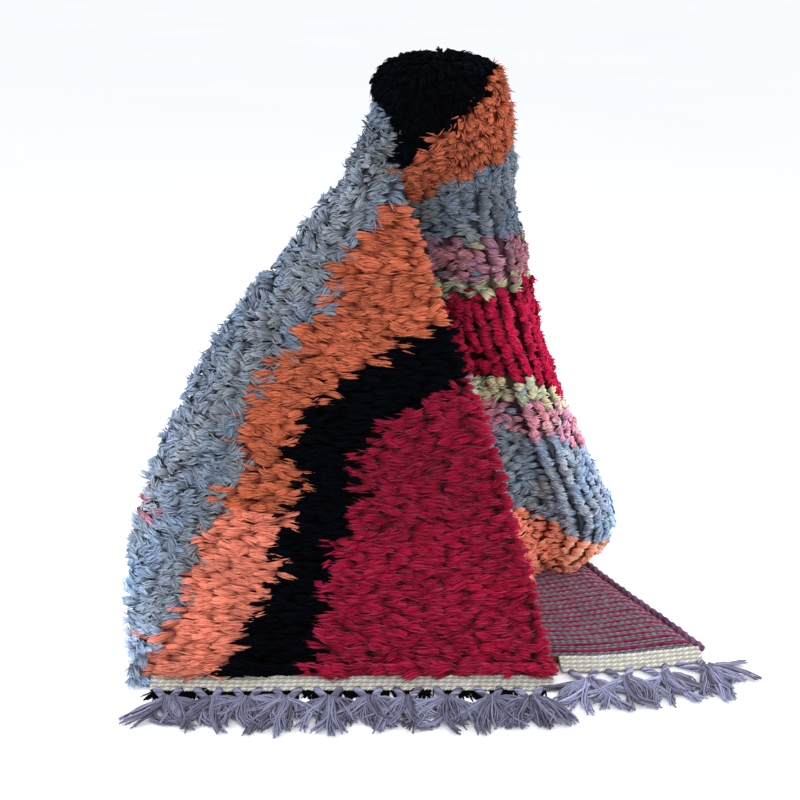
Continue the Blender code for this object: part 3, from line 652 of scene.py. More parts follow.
class Finish:
    """One wool finish: a Principled shader and the nodes that feed it."""

    def __init__(self, name, roughness=0.95, sheen=0.0):
        self.material = bpy.data.materials.new(name)
        self.material.use_nodes = True
        self.tree = self.material.node_tree
        self.shader = self.tree.nodes["Principled BSDF"]
        self.shader.inputs["Roughness"].default_value = roughness
        self.shader.inputs["Specular IOR Level"].default_value = 0.05
        self.shader.inputs["Sheen Weight"].default_value = sheen
        self.shader.inputs["Sheen Roughness"].default_value = 0.5

    def node(self, kind, settings=None, output=0, **values):
        node = self.tree.nodes.new(kind)
        for key, value in (settings or {}).items():
            setattr(node, key, value)
        for key, value in values.items():
            self.put(node.inputs[key], value)
        return Value(self.tree, node.outputs[output])

    def put(self, slot, value):
        if isinstance(value, Value):
            self.tree.links.new(value.socket, slot)
        elif isinstance(value, tuple) and slot.type == "RGBA":
            slot.default_value = (*value[:3], 1.0)
        else:
            slot.default_value = value

    def mix(self, factor, a, b, kind="MIX"):
        node = self.tree.nodes.new("ShaderNodeMix")
        node.data_type = "RGBA"
        node.blend_type = kind
        self.put(node.inputs[0], factor)
        self.put(node.inputs[6], a)
        self.put(node.inputs[7], b)
        return Value(self.tree, node.outputs[2])

    def noise(self, scale, detail=2.0, place=None):
        place = place or self.node("ShaderNodeTexCoord", output=3)
        return self.node("ShaderNodeTexNoise", Vector=place, Scale=scale, Detail=detail)

    def bump(self, height, distance, strength=1.0):
        self.put(self.shader.inputs["Normal"],
                 self.node("ShaderNodeBump", Height=height, Distance=distance, Strength=strength))

    def colour(self, value):
        self.put(self.shader.inputs["Base Color"], value)


@functools.cache
def wool_finish(name, sheen=0.04):
    """Wool whose colour is painted on the mesh, with fibre and dye variation over it."""
    wool = Finish(name, sheen=sheen)
    paint = wool.node("ShaderNodeAttribute", {"attribute_name": "wool"})
    dye = wool.noise(38.0, 3.0)
    fibre = wool.noise(420.0, 2.0)
    shade = 0.72 + dye * 0.34 + fibre * 0.24
    grey = wool.node("ShaderNodeCombineColor", Red=shade, Green=shade, Blue=shade)
    wool.colour(wool.mix(1.0, paint, grey, "MULTIPLY"))
    wool.bump(fibre, 0.00035, 0.6)
    return wool.material


@functools.cache
def woven_back_finish(grey, crimson):
    """Flat back of the weave: grey rows with a crimson line between, read from the rug's own map."""
    weave = Finish("woven_back")
    flat = weave.node("ShaderNodeUVMap", {"uv_map": "rug"})
    apart = weave.tree.nodes.new("ShaderNodeSeparateXYZ")
    weave.tree.links.new(flat.socket, apart.inputs[0])
    across, along = (Value(weave.tree, apart.outputs[k]) for k in (0, 1))
    slub = weave.noise(1.0, 2.0, weave.node("ShaderNodeCombineXYZ", X=across * 160.0, Y=along * 260.0))
    place = ((along + slub * 0.0012) / (3 * WOVEN_ROW)).fraction()
    line = ((0.30 - place) * 14.0).bounded(0.0, 1.0)
    rows = (along / WOVEN_ROW * 2 * math.pi).wave() * 0.5 + 0.5
    knots = (across / 0.0045 * 2 * math.pi).wave() * 0.5 + 0.5
    # darker in the furrows between rows and knots, as painted shade; slub is the yarn's own tone
    dark = 0.45 + rows * 0.35 + knots * 0.12 + slub * 0.25
    wool = weave.mix(line, grey, crimson)
    shade = weave.node("ShaderNodeCombineColor", Red=dark, Green=dark, Blue=dark)
    weave.colour(weave.mix(1.0, wool, shade, "MULTIPLY"))
    weave.bump(rows + knots * 0.5 + slub * 0.6, 0.0012, 0.8)
    return weave.material


def finish_piece(obj, slot, *materials):
    for material in materials:
        obj.data.materials.append(material)
    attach(obj, "root")
    return obj


def settings():
    return bpy.context.scene.rug_wool, bpy.context.scene.rug_make


def palette():
    wool, _ = settings()
    return np.array([tuple(getattr(wool, name)) for name in WOOLS])


def band_of(x, table, z):
    """Signed distance of x past the line that a table gives by height."""
    return x - np.interp(z, [row[0] for row in table], [row[1] for row in table])


def flap_wool(x, z, stray):
    """Which wool grows at a place of the flap; stray moves the lines a little, lock by lock."""
    wool = np.full(len(x), GREY)
    orange = band_of(x + stray, GREY_TO_ORANGE, z) > 0
    wool[orange] = np.where(z[orange] + 0.5 * stray[orange] < SALMON_TOP, SALMON, ORANGE)
    wool[band_of(x + 1.3 * stray, ORANGE_TO_BLACK, z) > -0.013] = BLACK
    wool[band_of(x + 1.3 * stray, BLACK_TO_CRIMSON, z) > 0.015] = CRIMSON
    tuft = (x < -0.40) & (np.abs(z - 0.252) < 0.020) & (np.sin(900 * x + 700 * z) > 0.1)
    wool[tuft] = PINK
    return wool


def far_wool(share, z, x, stray):
    """Which wool grows on the bulge and the hood, from the share across what shows and the height."""
    wool = np.full(len(z), ORANGE)
    done = np.zeros(len(z), dtype=bool)
    for name, line in FAR_BANDS:
        low = np.interp(share, [p[0] for p in line], [p[1] for p in line])
        here = ~done & (z + stray > low)
        wool[here] = WOOLS.index(name)
        done |= here
    left = (x < 0.004 + stray) & (z > 0.755) & (share < 0.3)
    wool[left] = BLACK
    grey = left & (band_of(x + stray, HOOD_GREY, z) < 0) & (z < 0.905)
    wool[grey] = GREY
    return wool


def wall_wool(away, z, stray):
    """Which wool grows on the wall behind, from the way round from the fold."""
    across = away + 0.35 * z + stray
    wool = np.full(len(z), BLACK)
    for limit, name in reversed(WALL_BANDS):
        wool[across < limit] = WOOLS.index(name)
    return wool


def rooted(ground, normals, line, pitch, rng, start, extra):
    """Root places along one line of the cloth, a pitch apart with a little disorder."""
    run = lengths_along(ground)
    places = np.arange(start * pitch, run[-1], pitch)
    places = np.clip(places + rng.normal(0.0, 0.12 * pitch, len(places)), 0.0, run[-1])
    at = np.interp(places, run, np.arange(len(run)))
    return {"base": between(ground, at), "normal": unit(between(normals, at)),
            "along": unit(between(unit(np.gradient(ground, axis=0)), at)),
            "extra": between(extra, at), "line": np.full(len(at), line)}


def gather(parts):
    return {key: np.concatenate([part[key] for part in parts]) for key in parts[0]}


def bent(base, lie, normal, side, lift, length, bend, cuts):
    """Middle lines of locks that rise from the cloth and curl over."""
    centres = [base]
    for low, high in zip(cuts, cuts[1:]):
        angle = lift + 0.42 - 0.475 * (low + high)
        step = lie * np.cos(angle)[:, None] + normal * np.sin(angle)[:, None]
        step = step + side * (bend * 1.5 * (low + high) / length)[:, None]
        centres.append(centres[-1] + unit(step) * (length * (high - low))[:, None])
    return np.stack(centres, axis=1)


def grow(name, roots, wools, lie, lift, length, core, per, rng, spread=0.2, curl=0.004, ruffle=0.10,
         thick=0.0, plump=0.62, painted_lighting=1.0, cool=0.0, around=False, faces=5, finish="pile"):
    """Tufts of pile: a soft core at each root with per strands over it, lying along lie, standing up by lift.

    core is a tuft's width and plump its height over that; thick is how far up the tufts of a dense lying
    pile begin; glow lightens or darkens a tuft's wool as painted light and shade, and cool turns it towards
    blue as painted cool light; around lets the strands sit on all sides of the core, not only above.
    """
    _, make = settings()
    colours = palette()
    count = len(roots["base"])
    normal, lie = roots["normal"], unit(lie)
    side = unit(np.cross(normal, lie))
    length = length * rng.uniform(0.86, 1.12, count)
    lift = lift + rng.normal(0.0, 0.10, count)
    bend = rng.normal(0.0, curl, count)
    core = core * rng.uniform(0.84, 1.18, count)
    base = (roots["base"] + lie * (rng.normal(0.0, 0.002, count) - 0.25 * length * np.cos(lift))[:, None]
            + normal * (rng.uniform(0.0, 1.0, count) * thick + core * plump * 0.25)[:, None])
    x, z = roots["base"][:, 0], roots["base"][:, 2]
    drift = 0.07 * np.sin(41 * x + 23 * z + 0.4) + 0.05 * np.sin(19 * x - 67 * z + 1.1)
    pale = np.isin(wools, (GREY, PINK, OLIVE))
    warm = np.where(pale, 0.09 * np.sin(53 * x - 37 * z + 2.0) + rng.uniform(-0.06, 0.06, count), 0.02)
    # cool is painted cool light: a blue tint, full on the pale wools and less on the others
    cool = np.broadcast_to(cool, (count,)) * np.where(pale, 1.0, 0.4)
    tint = 1 + warm[:, None] * (1.0, 0.1, -1.0) + cool[:, None] * (0.16, 0.34, 0.60)
    # glow lightens or darkens the tuft as painted light and shade; drift and the random part are the wool's
    # own tone
    shade = np.clip(1 + drift + rng.normal(0.0, 0.09, count), 0.6, 1.5) * painted_lighting
    main = colours[wools] * shade[:, None] * tint
    # painted shade for the roots, from the darker tones
    deep = tones(PAINTED_SHADE)[wools] * shade[:, None]
    # painted highlights for the ends of the locks
    tips = tones(PAINTED_HIGHLIGHTS)[wools] * np.broadcast_to(painted_lighting, (count,))[:, None]
    light = np.clip(rng.beta(1.1, 3.6, count) * np.where(pale, 1.5, 1.0), 0.0, 0.85)[:, None]
    end = main * (1 - light) + tips * light

    centres = bent(base, lie, normal, side, lift, length * (0.82 if around else 0.95), bend,
                   (0.0, 0.48, 0.86, 1.0))
    widths = core[:, None] * np.array((0.70, 1.0, 0.70, 0.0))[None]
    # the core painted dark at its root as painted shade and lighter at its end as a painted highlight
    levels = np.stack([deep * 0.5, deep * 0.35 + main * 0.6, main, main * 0.5 + end * 0.5], axis=1)
    soft = yarns(f"{name}_cores", centres, normal[:, None], widths, widths * plump, levels, sides=faces)
    wool = wool_finish(finish, 0.0 if finish == "black_pile" else 0.04)
    finish_piece(soft, "pile_wool", wool)

    pick = np.repeat(np.arange(count), per)
    n = len(pick)
    place = (np.tile((np.arange(per) + 0.5) / per, count) + rng.uniform(-0.5, 0.5, n) / per)
    turn = place * (2 * math.pi if around else 0.86 * math.pi) + (0.0 if around else 0.07 * math.pi)
    normal, lie, side = normal[pick], lie[pick], side[pick]
    above = normal * np.cos(lift[pick])[:, None] - lie * np.sin(lift[pick])[:, None]
    shift = (side * (np.cos(turn) * core[pick] * 0.44)[:, None]
             + above * (np.sin(turn) * core[pick] * plump * 0.46)[:, None])
    lean = rng.normal(0.0, ruffle, n) + (ruffle * np.sin(turn) if around else 0.0)
    own = unit(lie + side * (spread * (np.cos(turn) + rng.normal(0.0, 0.4, n)))[:, None])
    strand = length[pick] * rng.uniform(0.82, 1.14, n)
    centres = bent(base[pick] + shift * 0.7, own, normal, unit(np.cross(normal, own)), lift[pick] - lean,
                   strand, bend[pick] + rng.normal(0.0, curl * 0.5, n), (0.0, 0.58, 1.0))
    centres[:, 1] += shift * 0.3
    thin = make.width * rng.uniform(0.72, 1.25, n)
    widths = thin[:, None] * np.array((0.8, 1.0, 0.0))[None]
    fleck = (1 + rng.normal(0.0, 0.07, n))[:, None]
    light = np.clip(rng.beta(1.1, 3.4, n) * np.where(pale[pick], 1.6, 1.1), 0.0, 0.9)[:, None]
    end = main[pick] * fleck * (1 - light) + tips[pick] * light
    # each strand painted dark at its root as painted shade, with a painted highlight at its end
    levels = np.stack([deep[pick] * 0.7, main[pick] * fleck * 0.94, end], axis=1)
    fine = yarns(name, centres, normal[:, None], widths, widths * 0.75, levels)
    return finish_piece(fine, "pile_wool", wool)


def near_roots(row_pitch, pitch, rng, first, last, keep):
    """Roots on the near half between two marks round the wrap."""
    near = near_half()
    rows, columns = near["ground"].shape[:2]
    a, b = int(first * (columns - 1)), int(math.ceil(last * (columns - 1)))
    rise = near["rise"][-1, (a + b) // 2]
    parts = []
    for k, at in enumerate(np.arange(0.3, rows - 1.01, (rows - 1) * row_pitch / rise)):
        line, way, run = (between(near[key][:, a:b + 1], at) for key in ("ground", "normals", "run"))
        parts.append(rooted(line, unit(way), k, pitch, rng, 0.25 + 0.5 * (k % 2), run))
    roots = gather(parts)
    return only(roots, keep(roots))


def foot_roots(rng):
    """Roots just above the front end strip, whose locks hang over its edge."""
    _, edges, _, length = strip_edges()[0]
    parts = []
    for k, (up, inward) in enumerate(((0.0040, 0.0015), (0.0100, 0.004))):
        run = np.arange(0.004, length + 0.002, 0.0085)
        count = len(run)
        run = run + rng.normal(0, 0.001, count)
        parts.append({"base": edges(run)[0] + (0.0, inward, up),
                      "along": np.tile((1.0, 0.0, 0.0), (count, 1)),
                      "normal": np.tile(unit(np.array((0.0, -0.75, 0.66))), (count, 1)),
                      "extra": run, "line": np.full(count, float(k))})
    return gather(parts)


def only(roots, kept):
    return {key: value[kept] for key, value in roots.items()}


def slope_turn(roots, angle):
    """The way along each line, turned in the cloth by an angle; positive goes up."""
    up = unit(np.cross(roots["normal"], roots["along"]))
    up = up * np.where(up[:, 2:3] < 0, -1.0, 1.0)
    return roots["along"] * np.cos(angle)[:, None] + up * np.sin(angle)[:, None]


def wool_colour(label, code, what):
    """A colour that a user may change."""
    return bpy.props.FloatVectorProperty(name=label, description=what, subtype="COLOR", size=3,
                                         min=0, max=1, default=linear(code))


def measure(label, default, low, high, what):
    """A length that a user may change."""
    return bpy.props.FloatProperty(name=label, description=what, subtype="DISTANCE", unit="LENGTH",
                                   default=default, min=low, max=high)


class RugWool(bpy.types.PropertyGroup):
    """Colours of the wools."""
    grey: wool_colour("Grey wool", "#7f8792", "Pile of the grey bands")
    orange: wool_colour("Orange wool", "#c5684a", "Pile of the orange bands")
    salmon: wool_colour("Salmon wool", "#e5866f", "Faded lower end of the orange band")
    black: wool_colour("Black wool", "#020309", "Pile of the black bands")
    crimson: wool_colour("Crimson wool", "#a20c35", "Pile of the crimson bands")
    pink: wool_colour("Pink wool", "#b97d8c", "Pile of the dusty pink bands")
    olive: wool_colour("Olive wool", "#b6b092", "Pile of the thin olive bands")
    cream: wool_colour("Cream warp", "#d4cfc4", "Twined end strips")
    fringe: wool_colour("Fringe", "#6f6e83", "Knotted warp ends")
    back_grey: wool_colour("Back grey", "#7a7880", "Grey rows of the woven back")
    back_crimson: wool_colour("Back crimson", "#a8184a", "Crimson lines of the back")
    cord: wool_colour("Side cord", "#62405a", "Overcast side edge")


class RugMake(bpy.types.PropertyGroup):
    """Sizes of the pile and the yarns."""
    strand: measure("Strand length", 0.029, 0.01, 0.05, "Length of a lying strand of pile")
    width: measure("Strand width", 0.0036, 0.001, 0.01, "Width of a strand of pile")
    tuft: measure("Tuft width", 0.0086, 0.004, 0.02, "Width of one tuft's soft core")
    row: measure("Row pitch", 0.0095, 0.005, 0.03, "Distance from one row of knots to the next")
    knot: measure("Knot pitch", 0.0125, 0.005, 0.03, "Distance between knots along a row")
    ridge: measure("Ridge pitch", 0.0285, 0.01, 0.05, "Distance between the upright ridges of pile")
    key_light: bpy.props.FloatProperty(name="Key light", description="Power of the soft light at the front",
                                       unit="POWER", default=31.0, min=0.0, max=1000.0)
    side_light: bpy.props.FloatProperty(name="Side light", description="Power of the cool light at the left",
                                        unit="POWER", default=52.0, min=0.0, max=1000.0)
    sky: bpy.props.FloatProperty(name="Surrounding light", description="Strength of the even light all round",
                                 default=1.05, min=0.0, max=5.0)


class RUG_OT_near_cloth(bpy.types.Operator):
    """Make the woven ground of the near half, with its striped flat back"""
    bl_idname = "rug.near_cloth"
    bl_label = "Near half cloth"

    def execute(self, context):
        wool, _ = settings()
        near = near_half()
        top, low = near["ground"][::2, ::2], near["back"][::2, ::2]
        run, rise = near["run"][::2, ::2], near["rise"][::2, ::2]
        flat = np.stack([run, rise], axis=-1).reshape(-1, 2)
        fold = near["run"][:, int(near["marks"][4] * (FINE_COLUMNS - 1))][::2, None]
        x, z = top[..., 0].ravel(), top[..., 2].ravel()
        away = (run - fold).ravel()
        stray = np.zeros(len(x))
        wools = np.where(away < 0.02, flap_wool(x, z, stray), wall_wool(away, z, stray))
        # the ground cloth between the locks in painted shade, from the darker tones; its edge under the side
        # cord takes the cord's colour, darkened as painted shade
        dark = tones(PAINTED_SHADE)[wools] * 0.8
        dark.reshape(*top.shape)[:, -2:] = np.array(tuple(wool.cord)) * 0.6
        obj = slab("near_half_cloth", top, low, colours=np.concatenate([dark, dark]),
                   flat_map=np.concatenate([flat, flat]))
        face_out(obj, tuple(near["normals"][0, 0]))
        back = woven_back_finish(tuple(wool.back_grey), tuple(wool.back_crimson))
        finish_piece(obj, "pile_wool", wool_finish("pile_ground"), back)
        cells = (top.shape[0] - 1) * (top.shape[1] - 1)
        marks = np.zeros(len(obj.data.polygons), dtype=np.int32)
        marks[cells:2 * cells] = 1
        obj.data.polygons.foreach_set("material_index", marks)
        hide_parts("rug_body")
        return {"FINISHED"}


class RUG_OT_far_cloth(bpy.types.Operator):
    """Make the woven ground of the far half, packed inside and over the peak"""
    bl_idname = "rug.far_cloth"
    bl_label = "Far half cloth"

    def execute(self, context):
        skin, normals = far_half()
        depth = pile_depth(skin)
        ground = skin - normals * depth
        low = skin - normals * (depth + CLOTH)
        ground[..., 2] = np.maximum(ground[..., 2], 0.006)
        low[..., 2] = np.maximum(low[..., 2], 0.006)
        top, low = ground[::2, ::2], low[::2, ::2]
        x, z = top[..., 0].ravel(), top[..., 2].ravel()
        share = far_share(top[..., 0], top[..., 1], top[..., 2]).ravel()
        # the ground cloth between the locks in painted shade, from the darker tones
        dark = tones(PAINTED_SHADE)[far_wool(share, z, x, np.zeros(len(x)))] * 0.5
        run = np.arange(top.shape[1])[None, :] * 0.02 + np.zeros((top.shape[0], 1))
        flat = np.stack([run, np.broadcast_to(top[..., 2], run.shape)], axis=-1).reshape(-1, 2)
        colours = np.concatenate([dark, dark, dark[-2:]])
        obj = slab("far_half_cloth", top, low, closed=True, colours=colours,
                   flat_map=np.concatenate([flat, flat, flat[-2:]]))
        face_out(obj, tuple(normals[0, 0]))
        finish_piece(obj, "pile_wool", wool_finish("pile_ground"))
        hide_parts("rug_body")
        return {"FINISHED"}


def far_share(x, y, z):
    """Share across what shows of the far half: 0 beside the flap, 1 at the right silhouette."""
    heights = column(BULK, 0)
    right = np.interp(z, np.append(heights, (0.80, 0.90, 0.952, 0.981)),
                      np.append(column(BULK, 1), (0.196, 0.184, 0.168, 0.118)))
    left = np.interp(z, column(FLAP, 0), column(FLAP, 2))
    left = np.where(z > 0.80, -0.006, left)
    share = (x - left) / np.maximum(right - left, 0.02)
    behind = np.clip(y - np.interp(z, heights, column(BULK, 2)), 0.0, 1.0)
    return np.clip(share, -1.0, 1.0) + behind * 3.0


class RUG_OT_flap_pile(bpy.types.Operator):
    """Grow the pile of the front flap, in combed rows"""
    bl_idname = "rug.flap_pile"
    bl_label = "Flap pile"

    def execute(self, context):
        _, make = settings()
        rng = np.random.default_rng(11)
        near = near_half()
        marks = near["marks"]
        roots = near_roots(make.row, make.knot, rng, 0.0, marks[4] * 0.985,
                           lambda r: (r["base"][:, 2] > 0.012) & (r["base"][:, 2] < 0.812))
        roots = gather([roots, foot_roots(rng)])
        count = len(roots["base"])
        way = np.where(rng.random(count) < 0.5, -1.0, 1.0)
        line_shift = np.sin(roots["line"] * 2.4) * 0.006 + np.sin(roots["line"] * 0.83 + 1.0) * 0.006
        stray = line_shift + rng.normal(0.0, 0.003, count)
        x, z = roots["base"][:, 0], roots["base"][:, 2]
        wools = flap_wool(x, np.maximum(z, 0.03), stray)
        side = np.interp(z, column(FLAP, 0), column(FLAP, 2))
        way = np.where(side - x < 0.022, 1.0, way) * np.sign(roots["along"][:, 0] + 1e-6)
        grey = wools == GREY
        swirl = 0.34 * np.sin(47 * x + 29 * z + 0.7) + 0.24 * np.sin(83 * z - 31 * x + 2.1)
        turn = np.where(grey, swirl - 0.10 + rng.normal(0.0, 0.18, count), rng.normal(-0.02, 0.08, count))
        turn += 0.10 * np.sin(11 * x + 29 * z) * ~grey
        lie = slope_turn(roots, turn) * way[:, None]
        lift = np.where(grey, 0.26, 0.14) + 0.08 * np.sin(9 * x + 17 * z)
        length = make.strand * np.where(grey, 1.18, 1.36) * (1 + 0.1 * np.sin(31 * x - 23 * z))
        short = np.interp(z, (0.05, 0.20), (0.30, 0.50))
        length = length * (short + (1 - short) * np.clip((side - x) / 0.035, 0.0, 1.0))
        # painted shade: the crimson darker at middle heights
        shaded = np.interp(z, (0.05, 0.2, 0.3, 0.5), (1.0, 0.95, 0.78, 0.85))
        painted_lighting = np.where(wools == CRIMSON, shaded, 1.0)
        fold = np.interp(z, column(FLAP, 0), column(FLAP, 3))
        # painted cool light: grey wool near the fold and low down made bluer and lighter
        cool = np.clip(1.0 - (x - fold) / 0.10, 0.0, 1.0) * np.interp(z, (0.0, 0.25, 0.5), (1.0, 0.6, 0.15))
        painted_lighting = painted_lighting * np.where(grey, 1 + 1.0 * cool, 1.0)
        for group, members in (("grey", (GREY, PINK)), ("orange", (ORANGE, SALMON)), ("black", (BLACK,)),
                               ("crimson", (CRIMSON,))):
            kept = np.isin(wools, members)
            curly = group == "grey"
            grow(f"flap_pile_{group}", only(roots, kept), wools[kept], lie[kept], lift[kept], length[kept],
                 make.tuft, 2 if group == "black" else 5, rng, spread=0.24 if curly else 0.09,
                 curl=0.009 if curly else 0.0035, thick=0.007 if curly else 0.008, painted_lighting=painted_lighting[kept],
                 cool=cool[kept], faces=4 if group == "black" else 5,
                 finish="black_pile" if group == "black" else "pile")
        return {"FINISHED"}


class RUG_OT_wall_pile(bpy.types.Operator):
    """Grow the pile round the fold and on the wall behind"""
    bl_idname = "rug.wall_pile"
    bl_label = "Fold and wall pile"

    def execute(self, context):
        _, make = settings()
        rng = np.random.default_rng(12)
        near = near_half()
        marks = near["marks"]

        def standing(r):
            z, down = r["base"][:, 2], r["normal"][:, 2]
            return (z < 0.80) & (down > -0.80) & (z > 0.004)

        roots = near_roots(make.row * 1.2, make.knot * 1.12, rng, marks[4] * 0.985, 1.0, standing)
        count = len(roots["base"])
        at_fold = near["run"][:, int(marks[4] * (FINE_COLUMNS - 1))]
        fold = np.interp(roots["base"][:, 2], near["middle"][:, 0, 2], at_fold)
        away = roots["extra"] - fold
        x, z = roots["base"][:, 0], roots["base"][:, 2]
        stray = np.sin(roots["line"] * 2.4) * 0.005 + rng.normal(0.0, 0.004, count)
        wools = np.where(away < 0.05, flap_wool(x, z, stray), wall_wool(away, z, stray))
        way = np.where(rng.random(count) < 0.5, -1.0, 1.0)
        round_it = roots["extra"]
        swirl = 0.32 * np.sin(47 * round_it + 29 * z + 0.7) + 0.24 * np.sin(83 * z - 31 * round_it)
        turn = swirl - 0.2 + rng.normal(0.0, 0.22, count)
        lie = slope_turn(roots, turn * way) * way[:, None]
        lift = np.full(count, 0.30)
        length = make.strand * np.interp(z, (0.20, 0.40), (0.82, 1.0))
        bunch = 40
        scatter = np.clip(rng.normal(0, 1, (bunch, 3)), -1.3, 1.6) * (0.009, 0.006, 0.013)
        corner = {"base": np.array((-0.430, 0.004, 0.026)) + scatter,
                  "normal": unit(np.array((-0.45, -0.85, 0.15)) + rng.normal(0, 0.10, (bunch, 3))),
                  "along": np.tile((0.9, -0.4, 0.0), (bunch, 1)), "extra": np.zeros(bunch),
                  "line": np.zeros(bunch)}
        corner["base"][:, 2] = np.maximum(corner["base"][:, 2], 0.010)
        roots = gather([roots, corner])
        wools = np.append(wools, np.full(bunch, GREY))
        lie = np.vstack([lie, unit(np.array((-0.05, -0.12, -0.95)) + rng.normal(0, 0.20, (bunch, 3)))])
        lift, length = np.append(lift, np.full(bunch, 0.10)), np.append(length, np.full(bunch, 0.024))
        away = np.append(away, np.zeros(bunch))
        z = np.append(z, corner["base"][:, 2])
        # painted cool light: bluish and lighter near the fold and low down, fading further round and higher
        # up
        cool = np.interp(away, (0.0, 0.06, 0.16), (0.6, 0.6, 0.1))
        cool = cool * np.interp(z, (0.0, 0.3, 0.6), (1.0, 0.7, 0.3))
        half = away < 0.30
        raised = np.interp(z, (0.15, 0.40), (-0.010, 0.004))
        for name, kept, per in (("fold_pile", half, 4), ("wall_pile", ~half, 3)):
            grow(name, only(roots, kept), wools[kept], lie[kept], lift[kept], length[kept],
                 make.tuft * 1.1, per, rng, spread=0.24, curl=0.008, thick=raised[kept], faces=4,
                 cool=cool[kept], painted_lighting=1 + 1.0 * cool[kept])
        return {"FINISHED"}


def pile_depth(skin):
    """How deep under the far half's skin its woven ground lies."""
    return np.interp(skin[..., 2], (0.0, 0.70, 0.82, 0.98), (0.018, 0.018, 0.012, 0.009))[..., None]


def far_ground(skin, normals):
    return skin - normals * pile_depth(skin)


class RUG_OT_bulge_pile(bpy.types.Operator):
    """Grow the pile of the bulge at the right, in upright ridges"""
    bl_idname = "rug.bulge_pile"
    bl_label = "Bulge pile"

    def execute(self, context):
        _, make = settings()
        rng = np.random.default_rng(13)
        skin, normals = far_half()
        ground = far_ground(skin, normals)
        rows, columns = skin.shape[:2]
        per = columns / CORE_COLUMNS
        # columns from deep behind the flap round to the rear joint
        silhouette = int(23.5 * per)
        order = np.arange(silhouette, -int(4.2 * per) - 1, -1) % columns
        tall = lengths_along(ground[:, 0])

        def level(height):
            at = np.interp(height, tall, np.arange(rows))
            return (between(ground[:, order], at), unit(between(normals[:, order], at)),
                    lengths_along(skin[int(at), order]))

        def picked(values, run, places):
            return between(values, np.interp(places, run, np.arange(len(run))))

        def wander(height, number):
            return 0.0035 * np.sin(11 * height + 1.9 * number) + 0.0015 * np.sin(37 * height - 2.3 * number)

        def lies_flat(share, z):
            return (share < 0.42) & (z < 0.42) | (share < 0.5) & (z > 0.575) & (z < 0.76) | (share < 0.12)

        steps = np.arange(0.006, np.interp(0.80, ground[:, 0, 2], tall), 0.0096)
        parts = []
        for k, height in enumerate(steps):
            line, way, run = level(height)
            numbers = np.arange(-80, 20)
            places = run[silhouette] + make.ridge / 2 * numbers
            inside = (places > 0.004) & (places < run[-1])
            numbers, places = numbers[inside], places[inside]
            places = places + rng.normal(0.0, 0.0014, len(places)) + wander(height, numbers / 2)
            parts.append({"base": picked(line, run, places), "normal": unit(picked(way, run, places)),
                          "along": unit(picked(unit(np.gradient(line, axis=0)), run, places)),
                          "extra": numbers * 0.5, "line": np.full(len(places), k)})
        roots = gather(parts)
        x, y, z = roots["base"].T
        count = len(x)
        share = far_share(x, y, z)
        ridge = roots["extra"]
        combed = lies_flat(share, z)
        hidden = share < -0.06
        ridged = ~combed & ~hidden & ((ridge % 1 == 0) | (share < 0.22))
        stand = 0.0085 + 0.004 * np.clip((share - 0.6) / 0.4, 0.0, 1.0)
        stand = stand * np.interp(z, (0.66, 0.77), (1.0, 0.05)) * ridged
        shown = roots["base"] + roots["normal"] * stand[:, None]
        stray = rng.normal(0.0, 0.003, count) + 0.003 * np.sin(ridge * 10)
        wools = far_wool(far_share(*shown.T), shown[:, 2], shown[:, 0], stray)
        orange, pink, olive = (wools == wool for wool in (ORANGE, PINK, OLIVE))
        wools[orange & (z < 0.25)] = SALMON
        odd = rng.random(count)
        wools[pink & (odd < 0.07)] = OLIVE
        wools[(pink | olive) & (odd > 0.97)] = GREY
        way = np.where(rng.random(count) < 0.5, -1.0, 1.0)
        turn = rng.normal(0.0, 0.20, count)
        lie = slope_turn(roots, turn) * way[:, None]
        lift = np.where(combed, 0.22, 0.18) + rng.normal(0.0, 0.05, count)
        length = np.where(combed, make.strand * 1.1, make.ridge * 0.92)
        length = length * np.interp(z, (0.0, 0.06), (1.2, 1.0))
        roots["base"] = shown - lie * (0.215 * length * ridged)[:, None]
        # painted light and shade: much lighter at the foot, darker under the hood and lighter towards the
        # right silhouette, with a small tone from ridge to ridge
        painted_lighting = np.interp(z, (0.0, 0.09, 0.14, 0.30, 0.42, 0.56, 0.60, 0.70),
                         (2.0, 1.95, 1.75, 1.62, 1.45, 1.35, 0.88, 0.72))
        painted_lighting = painted_lighting * np.interp(share, (0.15, 0.5, 1.0), (0.82, 1.0, 1.2)) * (1 + 0.08 * np.sin(ridge * 4.6))
        # painted cool light: bluer towards the right silhouette, less on pink and olive
        cool = np.clip((share - 0.45) / 0.5, 0.0, 1.0)
        cool = cool * np.interp(z, (0.0, 0.35, 0.55, 0.6), (0.9, 0.8, 1.2, 0.3))
        cool = cool * np.where(pink | olive, 0.45, 1.0)
        over = dict(spread=0.12, ruffle=0.12, plump=0.85)
        for name, kept, width, per, loose in (
                ("bulge_combed", combed & ~hidden, make.tuft, 5, dict(spread=0.08, plump=0.62)),
                ("bulge_pocket", hidden & (rng.random(count) < 0.66), make.tuft * 1.9, 2,
                 dict(spread=0.2, plump=0.62, faces=3)),
                ("bulge_ridges_upper", ridged & (z > 0.30), 0.0116, 9, over),
                ("bulge_ridges_lower", ridged & (z <= 0.30), 0.0116, 9, over)):
            grow(name, only(roots, kept), wools[kept], lie[kept], lift[kept], length[kept], width, per, rng,
                 curl=0.004, thick=0.002, painted_lighting=painted_lighting[kept], cool=cool[kept], **loose)

        numbers = np.arange(-13, 4)
        bodies, ways = [], []
        for height in steps[::2]:
            line, way, run = level(height)
            places = run[silhouette] + make.ridge * numbers + wander(height, numbers)
            places = np.clip(places, 0.012, run[-1] - 0.012)
            bodies.append(picked(line, run, places))
            ways.append(unit(picked(way, run, places)))
        bodies, ways = (np.array(values).transpose(1, 0, 2) for values in (bodies, ways))
        x, y, z = (bodies[..., k].ravel() for k in range(3))
        share = far_share(x, y, z)
